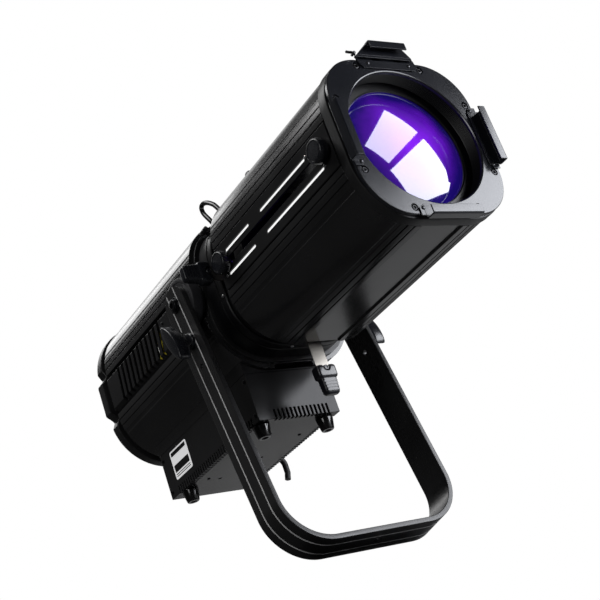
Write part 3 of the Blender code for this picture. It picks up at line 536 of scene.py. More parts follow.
def build_plate():
    edge, lip = 0.7, 1.5
    inner = OPENING + lip
    profile = [(PLATE_BACK, PLATE_HALF, PLATE_CORNER), (PLATE_FRONT + edge, PLATE_HALF, PLATE_CORNER),
               (PLATE_FRONT, PLATE_HALF - edge, PLATE_CORNER - edge), (PLATE_FRONT, inner, inner),
               (PLATE_FRONT + 0.4, inner - 0.9, inner - 0.9), (PLATE_FRONT + lip, OPENING, OPENING),
               (PLATE_BACK, OPENING, OPENING)]
    # Bands 1 and 4, the outer chamfer and the slope into the opening, take the lighter edge metal: painted
    # highlight.
    plate = square_ring(profile, 192, bands=[0, 1, 0, 0, 1, 0, 0])
    places = []
    for k in range(4):
        turn = Matrix.Rotation(math.radians(90 * k), 4, "Y")
        places += [turn @ Vector((side * SCREW_ACROSS, PLATE_FRONT, SCREW_OUT)) for side in (-1, 1)]
    pockets = [facing(revolve([(4.7, -2), (4.4, 0.2), (4.0, 2.0)], 28), (0, 1, 0), at) for at in places]
    piece("front_plate_sheet", carve(plate, merge(pockets)), "plate", "barrel", "front_plate",
          angle=15, extra=("edge",))
    heads = [screw(at + Vector((0, 1.9, 0)), (0, -1, 0), 3.5, 1.7) for at in places]
    piece("front_plate_screws", merge(heads), "screw", "barrel", bevel=0.15)


def build_bezel():
    low, high = span("front_bezel")
    half, corner, bore = high.x, 64.0, 85.0
    profile = [(high.y, half, corner), (low.y + 2.2, half, corner), (low.y + 0.7, half - 0.5, corner),
               (low.y, half - 1.8, corner), (low.y, bore + 0.6, bore + 0.6),
               (low.y + 0.6, bore, bore), (high.y, bore, bore)]
    piece("front_bezel_ring", square_ring(profile, 192), "cast", "barrel", "front_bezel")
    # The black tube behind the opening, with fine baffle threads.
    ring_front = span("front_lens_holder")[0].y
    start, end, threads = low.y + 0.1, ring_front - 0.8, 9
    profile = [(84.5, end), (84.5, start), (81.2, start)]
    for i in range(threads):
        y = start + (end - start) * (i + 0.5) / threads
        profile += [(80.7, y - 0.3), (81.5, y + 0.4)]
    profile.append((81.2, end))
    piece("front_hood_tube", revolve(profile, 128, "loop"), "dark", "barrel", angle=60)


def build_holders():
    back = PLATE_FRONT - GAP
    front = span("frame_holder_left")[0].y
    out = span("frame_holder_left")[1].x
    half, lip = span("frame_holder_left")[1].z, 10.0
    mid = SHEET / 2
    path = [(84, back - mid), (out - mid, back - mid), (out - mid, front + mid), (out - lip, front + mid)]
    for word, turn in (("left", 0), ("bottom", 90), ("right", 180)):
        channel = along_z(bent(path, SHEET, 1.4), -half, half)
        flange = along_y([(82, -31), (86, -38), (95, -38), (95, 38), (86, 38), (82, 31)], back - 1.2, back)
        whole = turned(merge([channel, flange]), turn)
        piece("colour_frame_holder_" + word, whole, "plate", "barrel", "frame_holder_" + word,
              bevel=0.25)
        rivets = [facing(revolve([(2.3, 0), (2.2, 0.5), (1.6, 1.0), (0.7, 1.25)], 20), (0, -1, 0),
                         (86.6, back - 1.2, z)) for z in (-33.5, 33.5)]
        piece("holder_rivets_" + word, turned(merge(rivets), turn), "rivet", "barrel")


def build_retainer():
    back = PLATE_FRONT - GAP
    hinge = joint_at("retainer_hinge")
    low, high = span("top_retainer")
    front, top, mid = low.y, high.z, SHEET / 2
    rise = hinge.y - 1.1
    path = [(rise, hinge.z - 1.8), (rise, hinge.z + 1), (rise, top - mid), (front + mid, top - mid),
            (front + mid, top - 9.5)]
    outline = bent(path, SHEET, 1.4)
    shoulder = hinge.z + 3

    def end_in_x(side, y, z):
        """The sheet narrows upwards, and its right foot reaches out as the lever's ear."""
        foot, crown = (-40.0, -24.0) if side < 0 else (32.0, 23.0)
        if y < rise - 2 or z > top - 4:
            return crown
        share = min(1.0, max(0.0, (z - shoulder) / (top - 4 - shoulder)))
        ear = -4.0 if side < 0 and z < shoulder - 2 else 0.0
        return foot + ear + (crown - foot) * share

    sheet = loft([[(end_in_x(side, y, z), y, z) for y, z in outline] for side in (-1, 1)])
    knuckle = circle(1.2, 24, hinge.y, hinge.z)
    knuckles = [along_x(knuckle, x0, x1) for x0, x1 in ((-36, -20), (-8, 8), (20, 31))]
    piece("top_retainer_sheet", merge([sheet] + knuckles), "plate", "retainer", "top_retainer", bevel=0.2)
    base = along_y([(-34, 82.5), (34, 82.5), (38, 87), (36, 95.6), (-41, 95.6), (-38, 87)], back - 1.4, back)
    fixed = [along_x(knuckle, x0, x1) for x0, x1 in ((-19.5, -8.5), (8.5, 19.5))]
    straps = [block((x0, back - 1.4, 92), (x1, back - 0.2, hinge.z)) for x0, x1 in ((-19, -9), (9, 19))]
    piece("retainer_base_strip", merge([base] + fixed + straps), "plate", "barrel", "retainer_base",
          bevel=0.2)
    pin = facing(revolve([(0.5, -37.4), (0.9, -37), (0.9, 33), (0.5, 33.4)], 20), (1, 0, 0), hinge)
    piece("retainer_hinge_pin", pin, "screw", "barrel")
    rivets = [facing(revolve([(2.1, 0), (2.0, 0.5), (1.5, 1.0), (0.7, 1.25)], 20), (0, -1, 0),
                     (x, back - 1.4, 88.0)) for x in (-27, 27)]
    piece("retainer_rivets", merge(rivets), "rivet", "barrel")
    at = joint_at("latch_turn")
    lever = smooth_path([(1.5, 0, -1.6), (2.0, 0, 0.5), (-1.5, 0, 1.3), (-5, 0, 1.2), (-8.6, 0, 1.6)], 5)
    arm = loft([[(p.x + at.x - 2, y, p.z + at.z + h) for y, h in
                 ((at.y - 2.4, -0.9), (at.y - 0.1, -0.9), (at.y - 0.1, 0.9), (at.y - 2.4, 0.9))]
                for p in lever])
    pin = facing(revolve([(1.3, -3.8), (1.7, -3.4), (1.7, 2.0), (1.3, 2.2)], 20), (0, 1, 0),
                 at - Vector((1.8, 0.4, 0)))
    piece("retainer_lever", arm, "gloss", "latch", "retainer_latch", bevel=0.25)
    piece("retainer_lever_pin", pin, "bright_screw", "latch")


def build_front_lens():
    low, high = span("front_lens")
    radius, apex = high.x, low.y
    sag, rows = 15.0, 28
    rim = apex + sag
    profile = [(radius * max(i, 0.2) / rows, apex + sag * (i / rows) ** 2) for i in range(rows + 1)]
    profile += [(radius, rim + 3.6), (radius - 0.5, rim + 4), (radius * 0.6, high.y - 1), (1.0, high.y)]
    piece("front_lens_glass", revolve(profile, 128), "lens", "focus_carriage", "front_lens", angle=50)
    low, high = span("front_lens_holder")
    lip, outer, front, back = radius - 3.5, high.x, low.y, high.y
    seat = rim - sag * (1 - (lip / radius) ** 2) - GAP
    profile = [(lip, front + 1.2), (lip + 1.2, front), (outer - 0.8, front), (outer, front + 0.8),
               (outer, back - 0.8), (outer - 0.8, back), (radius + GAP, back), (radius + GAP, seat),
               (lip, seat)]
    piece("front_lens_ring", revolve(profile, 128, "loop"), "dark", "focus_carriage",
          "front_lens_holder", angle=25)


# --- barrel ----------------------------------------------------------------------------------

HALF, CORNER = span("barrel_shell")[1].z, 69.0
CHANNEL_HALF, BARREL_CHANNEL, HOUSING_CHANNEL = 26.5, 2.0, 5.0
HOUSING_BORE, BARREL_BORE = (89.0, 63.0), (93.0, 67.0)
COVER_FACE, COVER_HALF = 99.8, 19.5


def four_sided(quarter):
    """Repeats an outline that runs from one side's middle to the next on all four sides."""
    outline = []
    for c, s in ((1, 0), (0, 1), (-1, 0), (0, -1)):
        outline += [(a * c - b * s, a * s + b * c) for a, b in quarter]
    return outline


def extrusion_section(channel_deep):
    """The outline of barrel and housing: channels in the four sides, grooves and a shallow flute
    beside each, round corners between."""
    inner = HALF - CORNER
    marks = [(angle, 0.0) for angle in range(0, 46, 3)]
    for centre, half, deep in ((6, 0.7, 1.3), (13, 0.7, 1.3), (21, 2.2, 0.5)):
        marks = [m for m in marks if abs(m[0] - centre) > half + 0.4]
        slope = 0.35
        marks += [(centre - half, 0.0), (centre - half + slope, deep),
                  (centre + half - slope, deep), (centre + half, 0.0)]
    marks.sort()
    corner = []
    for angle, deep in marks + [(90 - a, d) for a, d in reversed(marks) if a < 45]:
        reach, turn = CORNER - deep, math.radians(angle)
        corner.append((inner + reach * math.cos(turn), inner + reach * math.sin(turn)))
    wall = [(HALF - channel_deep, CHANNEL_HALF), (HALF, CHANNEL_HALF + 0.8)]
    return four_sided(wall + corner + [(b, a) for a, b in reversed(wall)])


def extrusion(y0, y1, channel_deep, bore_size):
    outline = extrusion_section(channel_deep)
    bore = []
    for x, z in outline:
        a = math.atan2(z, x)
        reach = square_reach(*bore_size, a)
        bore.append((reach * math.cos(a), reach * math.sin(a)))
    rings = [[(x, y, z) for x, z in ring]
             for ring, y in ((outline, y0), (outline, y1), (bore, y1), (bore, y0))]
    return loft(rings, "loop")


def build_barrel():
    low, high = span("barrel_shell")
    rail_low, rail_high = span("focus_rail")
    window = block((-HALF - 5, low.y + 6.7, -18), (-HALF + 15, high.y - 4.9, 18))
    shell = carve(extrusion(low.y, high.y, BARREL_CHANNEL, BARREL_BORE), window)
    piece("barrel_extrusion", shell, "anodised", "barrel", "barrel_shell", bevel=0.25)
    rail = block(rail_low, rail_high, 1.0)
    focus, zoom = joint_at("focus_knob_turn").y, joint_at("zoom_knob_turn").y
    rows = {13.0: ((focus + 32, -178), (-153, zoom - 2)), -13.0: ((focus + 9, -178), (-153, zoom + 4))}
    x0, x1 = rail_low.x - 5, rail_high.x + 5
    slots = [along_x(rounded_box(focus - 6, zoom + 5.4, -4.6, 4.6, 4.5, 8), x0, x1)]
    strips, screws = [], []
    for z, spans in rows.items():
        for y0, y1 in spans:
            slots.append(along_x(rounded_box(y0, y1, z - 1.9, z + 1.9, 1.2, 4), x0, x1))
        start, end = spans[0][0] - 2, spans[1][1] + 2
        strips.append(block((rail_high.x + 0.3, start, z - 3.4), (rail_high.x + 1.3, end, z + 3.4)))
        screws += [screw((rail_low.x, y, z), (-1, 0, 0), 1.9, 1.1, "cross") for y in (start - 1.2, end + 1.0)]
    piece("focus_rail_plate", carve(rail, merge(slots)), "powder", "barrel", "focus_rail", bevel=0.2)
    # White strips behind the rail slots, glowing by emission: painted glow.
    piece("rail_scale_strips", merge(strips), "scale", "barrel", bevel=0.1)
    piece("rail_screws", merge(screws), "bright_screw", "barrel")


def build_carriage_knob(name, joint, body):
    at = joint_at(joint)
    face = -span(name)[0].x
    neck = -span("focus_rail")[0].x + GAP
    profile = [(9, neck), (9, neck + 3), (12.6, neck + 3.6), (13.2, neck + 4.6, 1), (13.0, face - 2.2, 1),
               (12.2, face - 0.6), (11.4, face), (10.6, face), (10.2, face - 0.7), (9.6, face - 0.7),
               (9.2, face - 0.1), (1.0, face)]
    knob = facing(revolve(profile, 160, flutes=32, depth=0.35), (-1, 0, 0), (0, at.y, at.z))
    piece(name + "_fluted", knob, "plastic", body, name, angle=40)
    ring = facing(revolve([(3.0, 80), (3.0, neck + 0.2)], 20), (-1, 0, 0), (0, at.y, at.z))
    piece(name + "_stud", ring, "bright_screw", body)


# --- gate and shutters -----------------------------------------------------------------------


def build_gate():
    low, high = span("shutter_box")
    front, back, half, corner = low.y, high.y, high.x, 56.0
    profile = [(front, half - 0.8, corner), (front + 0.8, half, corner), (back - 0.8, half, corner),
               (back, half - 0.8, corner), (back, 40, 40), (back - 3, 40, 40), (back - 3, half - 4, 52),
               (front + 3, half - 4, 52), (front + 3, 64, 64), (front, 64, 64)]
    box = square_ring(profile, 160)
    slots = []
    for side, turn in SHUTTERS.items():
        low_blade, high_blade = span("shutter_blade_" + side)
        y = (low_blade.y + high_blade.y) / 2
        slots.append(turned(block((-10.5, y - 1.4, -half - 4), (10.5, y + 1.4, -half + 8)), turn))
    # The gate box takes the darker casting: painted shade.
    piece("shutter_gate_box", carve(box, merge(slots)), "painted_shade_casting", "barrel", "shutter_box", bevel=0.2)
    low, high = span("gate_ring")
    front, back, half, corner = low.y, high.y, high.x, 60.0
    profile = [(front, half - 1, corner), (front + 1, half, corner), (front + 9, half, corner),
               (front + 9.6, half - 0.9, corner), (front + 11.4, half - 0.9, corner),
               (front + 12, half, corner), (back - 1, half, corner), (back, half - 1, corner),
               (back, 66, 66), (front, 66, 66)]
    # Painted shade: the gate ring also takes the darker casting.
    piece("gate_turning_ring", square_ring(profile, 160), "painted_shade_casting", "lamp", "gate_ring")
    heads = []
    for degrees in (12, 78, 102, 168, 192, 258, 282, 348):
        a = math.radians(degrees)
        reach = square_reach(half, corner, a) - 0.2
        step = 0.01
        ahead = square_reach(half, corner, a + step)
        tangent = Vector((ahead * math.cos(a + step), 0, ahead * math.sin(a + step)))
        tangent -= Vector((square_reach(half, corner, a) * math.cos(a), 0,
                           square_reach(half, corner, a) * math.sin(a)))
        normal = tangent.cross(Vector((0, -1, 0))).normalized()
        if normal.dot(Vector((math.cos(a), 0, math.sin(a)))) < 0:
            normal = -normal
        heads.append(screw((reach * math.cos(a), front + 5, reach * math.sin(a)), normal, 2.2, 1.2, "cross"))
    piece("gate_screws", merge(heads), "bright_screw", "lamp")


def build_eye():
    """The safety-cable eye: a bent wire that leans back."""
    low, high = span("safety_loop")
    wire = 2.9
    x, front = (low.x + high.x) / 2, low.y + wire
    foot = front + 24.0
    rise = high.z - low.z - wire - 12
    path = [(x, front, low.z), (x, front, low.z + 9)]
    count = 20
    middle, half = (front + foot) / 2, (foot - front) / 2
    for i in range(1, count):
        a = math.pi * (1 - i / count)
        up = rise * (0.35 + 0.65 * math.sin(a))
        path.append((x, middle + half * math.cos(a) + 20.0 * up / rise, low.z + 12 + up))
    path += [(x, foot, low.z + 9), (x, foot, low.z)]
    piece("safety_eye", pipe(smooth_path(path, 3), wire, 20), "gloss", "lamp", "safety_loop", angle=60)
    collars = [facing(revolve([(5.4, 0), (5.4, 1.6), (4.6, 2.4), (3.0, 2.4)], 28), (0, 0, 1),
                      (x, y, 82.6)) for y in (front, foot)]
    piece("safety_eye_collars", merge(collars), "cast", "lamp")


def build_lock_screw():
    at = joint_at("barrel_lock_turn")
    out = Vector(JOINTS["barrel_lock_turn"]["axis"])
    profile = [(2.4, -6), (2.4, 8.6), (4.4, 9.0), (6.8, 9.8, 1), (7.0, 10.6, 1), (7.0, 13.6, 1),
               (5.6, 14.8, 0.6), (2.5, 15.0)]
    screw_knob = facing(revolve(profile, 96, flutes=6, depth=2.4), out, at)
    piece("barrel_lock_thumb_screw", screw_knob, "cast", "barrel_lock", "barrel_lock_screw", angle=45)


SHUTTERS = {"bottom": 0.0, "right": 90.0, "top": 180.0, "left": 270.0}


def build_shutter(side, turn):
    low, high = span("shutter_blade_" + side)
    y = (low.y + high.y) / 2
    handle_low, handle_high = span("shutter_handle_" + side)
    reach = [abs(v) for v in (handle_low.z, handle_high.z, handle_low.x, handle_high.x)]
    far = max(reach)
    near, pushed = far - 35.0, 157.5 - far
    wide, neck, thick = 38.0, 9.0, 0.6
    edge, shoulder, end = pushed - 32.0, pushed - 63.0, -(near + 16)
    half = [(wide, edge), (wide, shoulder + 12), (wide - 14, shoulder), (neck + 3, shoulder),
            (neck, shoulder - 3), (neck, end)]
    blade = along_y(half + [(-x, z) for x, z in reversed(half)], y - thick, y + thick)
    body = "shutter_" + side
    piece("framing_blade_" + side, turned(blade, turn), "blade", body, "shutter_blade_" + side, bevel=0.12)
    # (distance out, half width, half thickness)
    stations = [(near, 9.6, 4.6), (near + 0.5, 11.6, 6.0), (near + 1.8, 12.8, 6.9), (near + 4, 13, 7.2),
                (near + 13, 12.8, 7.2), (near + 14.6, 12.2, 6.8), (near + 15.6, 11.0, 5.9),
                (near + 17.0, 10.6, 5.6), (far - 4, 9.7, 5.3), (far - 1.4, 9.0, 4.8), (far - 0.4, 8.2, 4.0),
                (far, 7.0, 3.0)]
    rings = []
    for out, half_x, half_y in stations:
        outline = rounded_box(-half_x, half_x, y - half_y, y + half_y, min(3.2, half_y - 0.2), 6)
        rings.append([(px, py, -out) for px, py in outline])
    mouth = block((-neck - GAP, y - thick - GAP, -near - 3), (neck + GAP, y + thick + GAP, -near + 5))
    # On each face a round notch leaves two ears beside the blade.
    notch = rounded_box(-5.4, 5.4, -near - 8.6, -near + 12, 5.3, 8)
    notches = [along_y([(px, pz) for px, pz in notch], *sorted((y + face * 3.4, y + face * 9)))
               for face in (-1, 1)]
    grip = carve(loft(rings), mouth, merge(notches))
    bosses = [facing(revolve([(3.2, 0), (3.2, 3.2), (2.7, 3.7), (1.7, 3.7), (1.5, 2.9)], 32),
                     (0, face, 0), (0, y + face * 3.4, -near - 4)) for face in (-1, 1)]
    ribs = [block((-9.2 + 0.4 * i, y + face * 5.0 - 0.9, -near - 21 - 3.6 * i),
                  (9.2 - 0.4 * i, y + face * 5.0 + 0.9, -near - 19.8 - 3.6 * i), 0.6)
            for face in (-1, 1) for i in range(4)]
    piece("shutter_grip_" + side, turned(merge([grip] + bosses + ribs), turn), "plastic", body,
          "shutter_handle_" + side, angle=35)


# --- housing ---------------------------------------------------------------------------------


def cover_section(floor, side):
    """A side cover's section: a folded sheet with a raised face between two slopes."""
    half, sheet = CHANNEL_HALF - 0.8, 2.0
    section = [(floor, half), (COVER_FACE - 0.5, COVER_HALF + 0.4), (COVER_FACE, COVER_HALF - 0.5),
               (COVER_FACE, 0.5 - COVER_HALF), (COVER_FACE - 0.5, -COVER_HALF - 0.4), (floor, -half),
               (floor, 2 * sheet - half), (COVER_FACE - sheet, 1 - COVER_HALF),
               (COVER_FACE - sheet, COVER_HALF - 1), (floor, half - 2 * sheet)]
    return [(side * x, z) for x, z in section]


def build_housing():
    low, high = span("housing_shell")
    window = block((-HALF - 5, 64, -20), (HALF + 5, 208, 20))
    shell = carve(extrusion(low.y, high.y, HOUSING_CHANNEL, HOUSING_BORE), window)
    piece("housing_extrusion", shell, "anodised", "lamp", "housing_shell", bevel=0.25)
    for word, side in (("right", -1), ("left", 1)):
        low, high = span("vent_panel_" + word)
        slots = []
        for i in range(11):
            y, wide, lean = 74 + 12 * i, 6, 6
            outline = [(y, 23.5), (y + wide, 23.5), (y + wide + lean, -23), (y + lean, -23)]
            slots.append(along_x(outline, low.x - 4, high.x + 4))
        floor = min(abs(low.x), abs(high.x))
        panel = carve(along_y(cover_section(floor, side), low.y, high.y), merge(slots))
        piece("side_vent_" + word, panel, "powder", "lamp", "vent_panel_" + word, bevel=0.2)
        heads = [screw((side * COVER_FACE, y, z), (side, 0, 0), 2.2, 1.0, "cross") for y in (46, 66)
                 for z in (-12, 12)]
        piece("side_vent_screws_" + word, merge(heads), "screw", "lamp")


def cap_section():
    """The rear cap's outline swells over each side cover, with a notch on either side of it."""
    rib = [(102.5, COVER_HALF), (102.1, COVER_HALF + 1.5), (96.0, 26.5), (94.0, 29.2), (93.5, 30.5)]
    corner = arc(98.5 - CORNER, 98.5 - CORNER, CORNER, 8, 82, 26)
    return four_sided(rib + corner + [(b, a) for a, b in reversed(rib)])


def build_rear_cap():
    low, high = span("rear_cap")
    seam, front, back = 243.0, low.y, high.y
    stations = ((front, 0.93), (seam, 0.93), (seam + 0.5, 0.985), (seam + 1.3, 0.998), (seam + 2.2, 1.0),
                (back - 4.5, 1.0), (back - 2.2, 0.994), (back - 0.8, 0.985), (back, 0.972))
    cap = loft([[(x * scale, y, z * scale) for x, z in cap_section()] for y, scale in stations])
    inside = loft([[(r * math.cos(a), y, r * math.sin(a)) for r, a in
                    ((square_reach(83, 54, t), t) for t in (math.pi * k / 48 for k in range(96)))]
                   for y in (front - 5, back - 4)])
    slots = []
    for i in range(-5, 6):
        z = 11.0 * i
        reach = math.sqrt(64.0 ** 2 - z ** 2)
        slots.append(along_y(rounded_box(-reach, reach, z - 3, z + 3, 2.95, 6), back - 8, back + 4))
    piece("rear_end_cap", carve(cap, inside, merge(slots)), "cast", "lamp", "rear_cap", bevel=0.3)
    heads = [screw((sx * 66, back, sz * 66), (0, 1, 0), 4.2, 2.0) for sx in (-1, 1) for sz in (-1, 1)]
    piece("rear_cap_screws", merge(heads), "screw", "lamp", bevel=0.15)


def build_inside():
    """What shows through the side vents: yellow and pale wires in front of dark screens that stand for the shade
    inside the housing: painted shade.
    """
    wires = []
    for i in range(4):
        y, z = 92 + 6.5 * i, (-1) ** i * 3.0
        loops = [(-80, y, -22), (-84 - i % 2, y + 3, -10 + z), (-85, y - 2, 2 + z), (-82, y + 4, 12),
                 (-78, y + 1, 24)]
        wires.append(pipe(smooth_path(loops, 6), 1.3, 12))
    piece("yellow_wires", merge(wires), "yellow", "lamp", angle=60)
    leads = [pipe(smooth_path([(-80, y, -18), (-84, y + 2, -7), (-83, y + 5, 3), (-79, y + 7, 14)], 6),
                  0.9, 12) for y in (112, 121)]
    # Dark sheets behind the vents, so that no backdrop shows through: painted shade.
    shade_screens = []
    for side in (-1, 1):
        wall, lip = side * 70.5, sorted((side * 71, side * 88))
        shade_screens.append(block((wall - 0.5, 60, -44), (wall + 0.5, 214, 44)))
        shade_screens.append(block((lip[0], 212, -44), (lip[1], 213, 44)))
    piece("painted_shade_screens", merge(shade_screens), "dark", "lamp")
    piece("white_leads", merge(leads), "steel", "lamp", angle=60)


def build_pivots():
    arm_in = YOKE_HALF - YOKE_THICK - GAP
    for word, side in (("right", -1), ("left", 1)):
        low, high = span("friction_disc_" + word)
        inner = min(abs(low.x), abs(high.x))
        outer = max(abs(low.x), abs(high.x))
        radius = high.z
        profile = [(24, inner), (24, inner + 4), (radius - 1, inner + 6.4), (radius, inner + 7.4),
                   (radius, outer - 1.4), (radius - 0.5, outer - 0.4), (radius - 1.4, outer),
                   (26.5, outer), (26.2, outer - 0.5), (25.4, outer - 0.5), (25.1, outer), (8, outer)]
        disc = facing(revolve(profile, 96), (side, 0, 0))
        piece("tilt_friction_disc_" + word, disc, "disc", "lamp", "friction_disc_" + word, angle=35)
        head = max(abs(span("pivot_bolt_" + word)[0].x), abs(span("pivot_bolt_" + word)[1].x))
        bolt = merge([facing(revolve([(5.9, arm_in - 10), (5.9, head - 4.2)], 32), (side, 0, 0)),
                      facing(revolve([(9.5, head - 4.4), (9.5, head - 3.2), (8.8, head - 3.0)], 48),
                             (side, 0, 0)),
                      screw((side * (head - 3.1), 0, 0), (side, 0, 0), 7.6, 3.1)])
        piece("tilt_pivot_bolt_" + word, bolt, "screw", "lamp", "pivot_bolt_" + word, bevel=0.2)


# --- yoke ------------------------------------------------------------------------------------

YOKE_HALF = span("yoke_frame")[1].x
YOKE_REACH, YOKE_WIDTH, YOKE_THICK, YOKE_BEND = 329.0, 44.0, 6.0, 56.0


def build_yoke():
    half_w, e, groove, wide, deep = YOKE_WIDTH / 2, 0.9, 9.0, 0.95, 1.1
    half = [(groove - wide, 0), (groove - 0.3, deep), (groove + 0.3, deep), (groove + wide, 0),
            (half_w - e, 0), (half_w - 0.25, 0.25), (half_w, e), (half_w, YOKE_THICK - e),
            (half_w - 0.25, YOKE_THICK - 0.25), (half_w - e, YOKE_THICK)]
    section = half + [(-v, d) for v, d in reversed(half)]
    # The groove walls get the near-white material: painted highlight lines.
    looks = [1 if max(a[1], b[1]) == deep and min(a[1], b[1]) in (0, deep) and abs(abs(a[0]) - groove) < 1.2
             and abs(abs(b[0]) - groove) < 1.2 else 0 for a, b in zip(section, section[1:] + section[:1])]
    centre_x, centre_z = YOKE_HALF - YOKE_BEND, YOKE_BEND - YOKE_REACH
    path, steps = [(YOKE_HALF, half_w, 0.0)], 28
    for step in range(steps + 1):
        degrees = -90 * step / steps
        a = math.radians(degrees)
        path.append((centre_x + YOKE_BEND * math.cos(a), centre_z + YOKE_BEND * math.sin(a), degrees))
    path += [(-x, z, -180 - a) for x, z, a in reversed(path)]
    rings = []
    for x, z, degrees in path:
        out_x, out_z = math.cos(math.radians(degrees)), math.sin(math.radians(degrees))
        rings.append([(x - out_x * d, v, z - out_z * d) for v, d in section])
    reach, clear = YOKE_HALF + 10, 8.0
    ends = [(-half_w - clear, 0), (-half_w, 0)] + arc(0, 0, half_w, 180, 0, 40)[1:]
    ends += [(half_w + clear, 0), (half_w + clear, half_w + clear), (-half_w - clear, half_w + clear)]
    holes = [facing(revolve([(radius, -reach), (radius, reach)], 32), (1, 0, 0), (0, 0, -drop))
             for drop, radius in ((0, 6.3), (52, 4.4), (86, 3.2))]
    holes.append(facing(revolve([(5.5, -clear), (5.5, YOKE_THICK + clear)], 32), (0, 0, 1),
                        (0, 0, -YOKE_REACH)))
    bar = carve(loft(rings, looks=looks), along_x(ends, -reach, reach), merge(holes))
    piece("yoke_bar", in_yoke(bar), "yoke", "yoke", "yoke_frame", bevel=0.2, angle=40, extra=("groove",))


def wing_point(i, steps, blend, width, length):
    """A point of a ring that changes from round (blend 0) to a pointed oval (blend 1)."""
    a = 2 * math.pi * i / steps
    s, c = math.sin(a), math.cos(a)
    oval = math.copysign(abs(s) ** 1.3, s)
    return width * (oval * blend + s * (1 - blend)), length * c


def build_tilt_knob(word, side):
    at = joint_at("tilt_knob_%s_turn" % word)
    lean = -13.0 - math.degrees(YOKE_SWING)
    # (distance outward, half width, half length, how much of the wing's shape)
    stations = [(GAP, 10, 10, 0), (3.4, 10, 10, 0), (4.0, 9.4, 9.6, 0), (5.5, 8.2, 10.5, 0.2),
                (8, 7.4, 14.5, 0.5), (10, 7.5, 19.5, 0.8), (12, 8.0, 24.5, 1), (13.4, 8.5, 26.6, 1),
                (14.6, 8.6, 27, 1), (24.6, 8.6, 27, 1), (26.0, 8.2, 26.6, 1), (26.8, 7.4, 25.6, 1),
                (27, 6.2, 24.0, 1)]
    steps = 56
    rings = [[(side * out, *wing_point(i, steps, blend, w, length)) for i in range(steps)]
             for out, w, length, blend in stations]
    wing = turned(loft(rings), lean, "X")
    wing.transform(Matrix.Translation(at))
    body = "tilt_knob_" + word
    piece("tilt_wing_" + word, wing, "plastic", body, body, angle=38)
    stud = facing(revolve([(4.0, -18), (4.0, GAP + 0.2)], 24), (side, 0, 0), at)
    piece("tilt_stud_" + word, stud, "bright_screw", body, angle=50)


# --- driver box ------------------------------------------------------------------------------


def build_driver_box():
    low, high = span("driver_box")
    w = 2.0
    shell = block(low, high)
    slots = [block(low + Vector((w, w, w)), Vector((high.x - w, high.y - w, high.z + 5)))]
    slots += [block((x, low.y - 5, low.z - 5), (x + 2.6, low.y + 5, low.z + 12))
              for x in (low.x + 22.4 + 5.6 * i for i in range(14))]
    for x0, x1 in ((low.x - 5, low.x + 7), (high.x - 7, high.x + 5)):
        slots += [block((x0, y, low.z - 5), (x1, y + 2.4, low.z + 9))
                  for y in (low.y + 14 + 5.5 * i for i in range(36))]
    slots += [facing(revolve([(2.2, -5), (2.2, 6)], 20), (0, 0, 1), (x, y, low.z))
              for x, y in ((low.x + 40, low.y + 45), (low.x + 70, low.y + 120), (low.x + 40, low.y + 175))]
    piece("driver_box_shell", carve(shell, slots[0], merge(slots[1:])), "powder", "lamp", "driver_box",
          bevel=0.5)
    lid_low, lid_high = span("driver_box_lid")
    inner, reach = HALF - CORNER, CORNER + GAP
    saddle = [(lid_low.x, lid_low.z), (lid_high.x, lid_low.z)]
    for side, end in ((1, lid_high.x), (-1, lid_low.x)):
        turn = math.degrees(math.asin((abs(end) - inner) / reach))
        start, stop = (-90 + turn, -90) if side > 0 else (-90, -90 - turn)
        saddle += arc(side * inner, -inner, reach, start, stop, 20)
    piece("driver_box_saddle", along_y(saddle, lid_low.y, lid_high.y), "powder", "lamp", "driver_box_lid")
    inset = 5.0
    heads = [screw((x, y, z), (side, 0, 0), 2.5, 1.4, "cross") for x, side in ((low.x, -1), (high.x, 1))
             for y in (low.y + inset, high.y - inset) for z in (low.z + 8, high.z - 8)]
    heads += [screw((x, y, low.z), (0, 0, -1), 2.2, 1.0, "cross") for x in (low.x + 22, high.x - 22)
              for y in (low.y + 60, high.y - 60)]
    piece("driver_box_screws", merge(heads), "screw", "lamp")
    plate_y, plate_z = low.y + 161, low.z + 16
    label = along_x(rounded_box(plate_y, plate_y + 45, plate_z, plate_z + 36, 2.5, 6), low.x - 0.35, low.x)
    # The label plate's glow comes from emission: painted glow.
    piece("label_plate", label, "label", "lamp", bevel=0.1)
    marks = [along_x(rounded_box(plate_y + y0, plate_y + y1, plate_z + z0, plate_z + z1, 0.6, 4),
                     low.x - 0.5, low.x - 0.3)
             for y0, y1, z0, z1 in ((3, 42, 29, 34), (3, 42, 8.5, 17.5), (3, 42, 5.4, 6.4),
                                    (3, 42, 2.8, 3.8))]
    piece("label_bands", merge(marks), "dark", "lamp")


def build_feet():
    for name in ("foot_front_left", "foot_front_right", "foot_rear_left", "foot_rear_right"):
        low, high = span(name)
        x, y = (low.x + high.x) / 2, (low.y + high.y) / 2
        top, bottom, wide = high.z, low.z, (high.x - low.x) / 2
        tall = top - bottom
        profile = [(wide - 0.3, 0), (wide, 0.5), (wide - 0.1, 2.2), (wide - 2.3, tall - 1.6),
                   (wide - 2.7, tall - 0.6), (wide - 3.4, tall), (4.2, tall), (3.7, tall - 0.6),
                   (3.6, tall - 7)]
        foot = facing(revolve(profile, 72), (0, 0, -1), (x, y, top))
        piece(name + "_moulded", foot, "gloss", "lamp", name, angle=40)
        head = screw((x, y, bottom + 7.0), (0, 0, -1), 3.0, 1.6, "cross")
        piece(name + "_screw", head, "screw", "lamp")


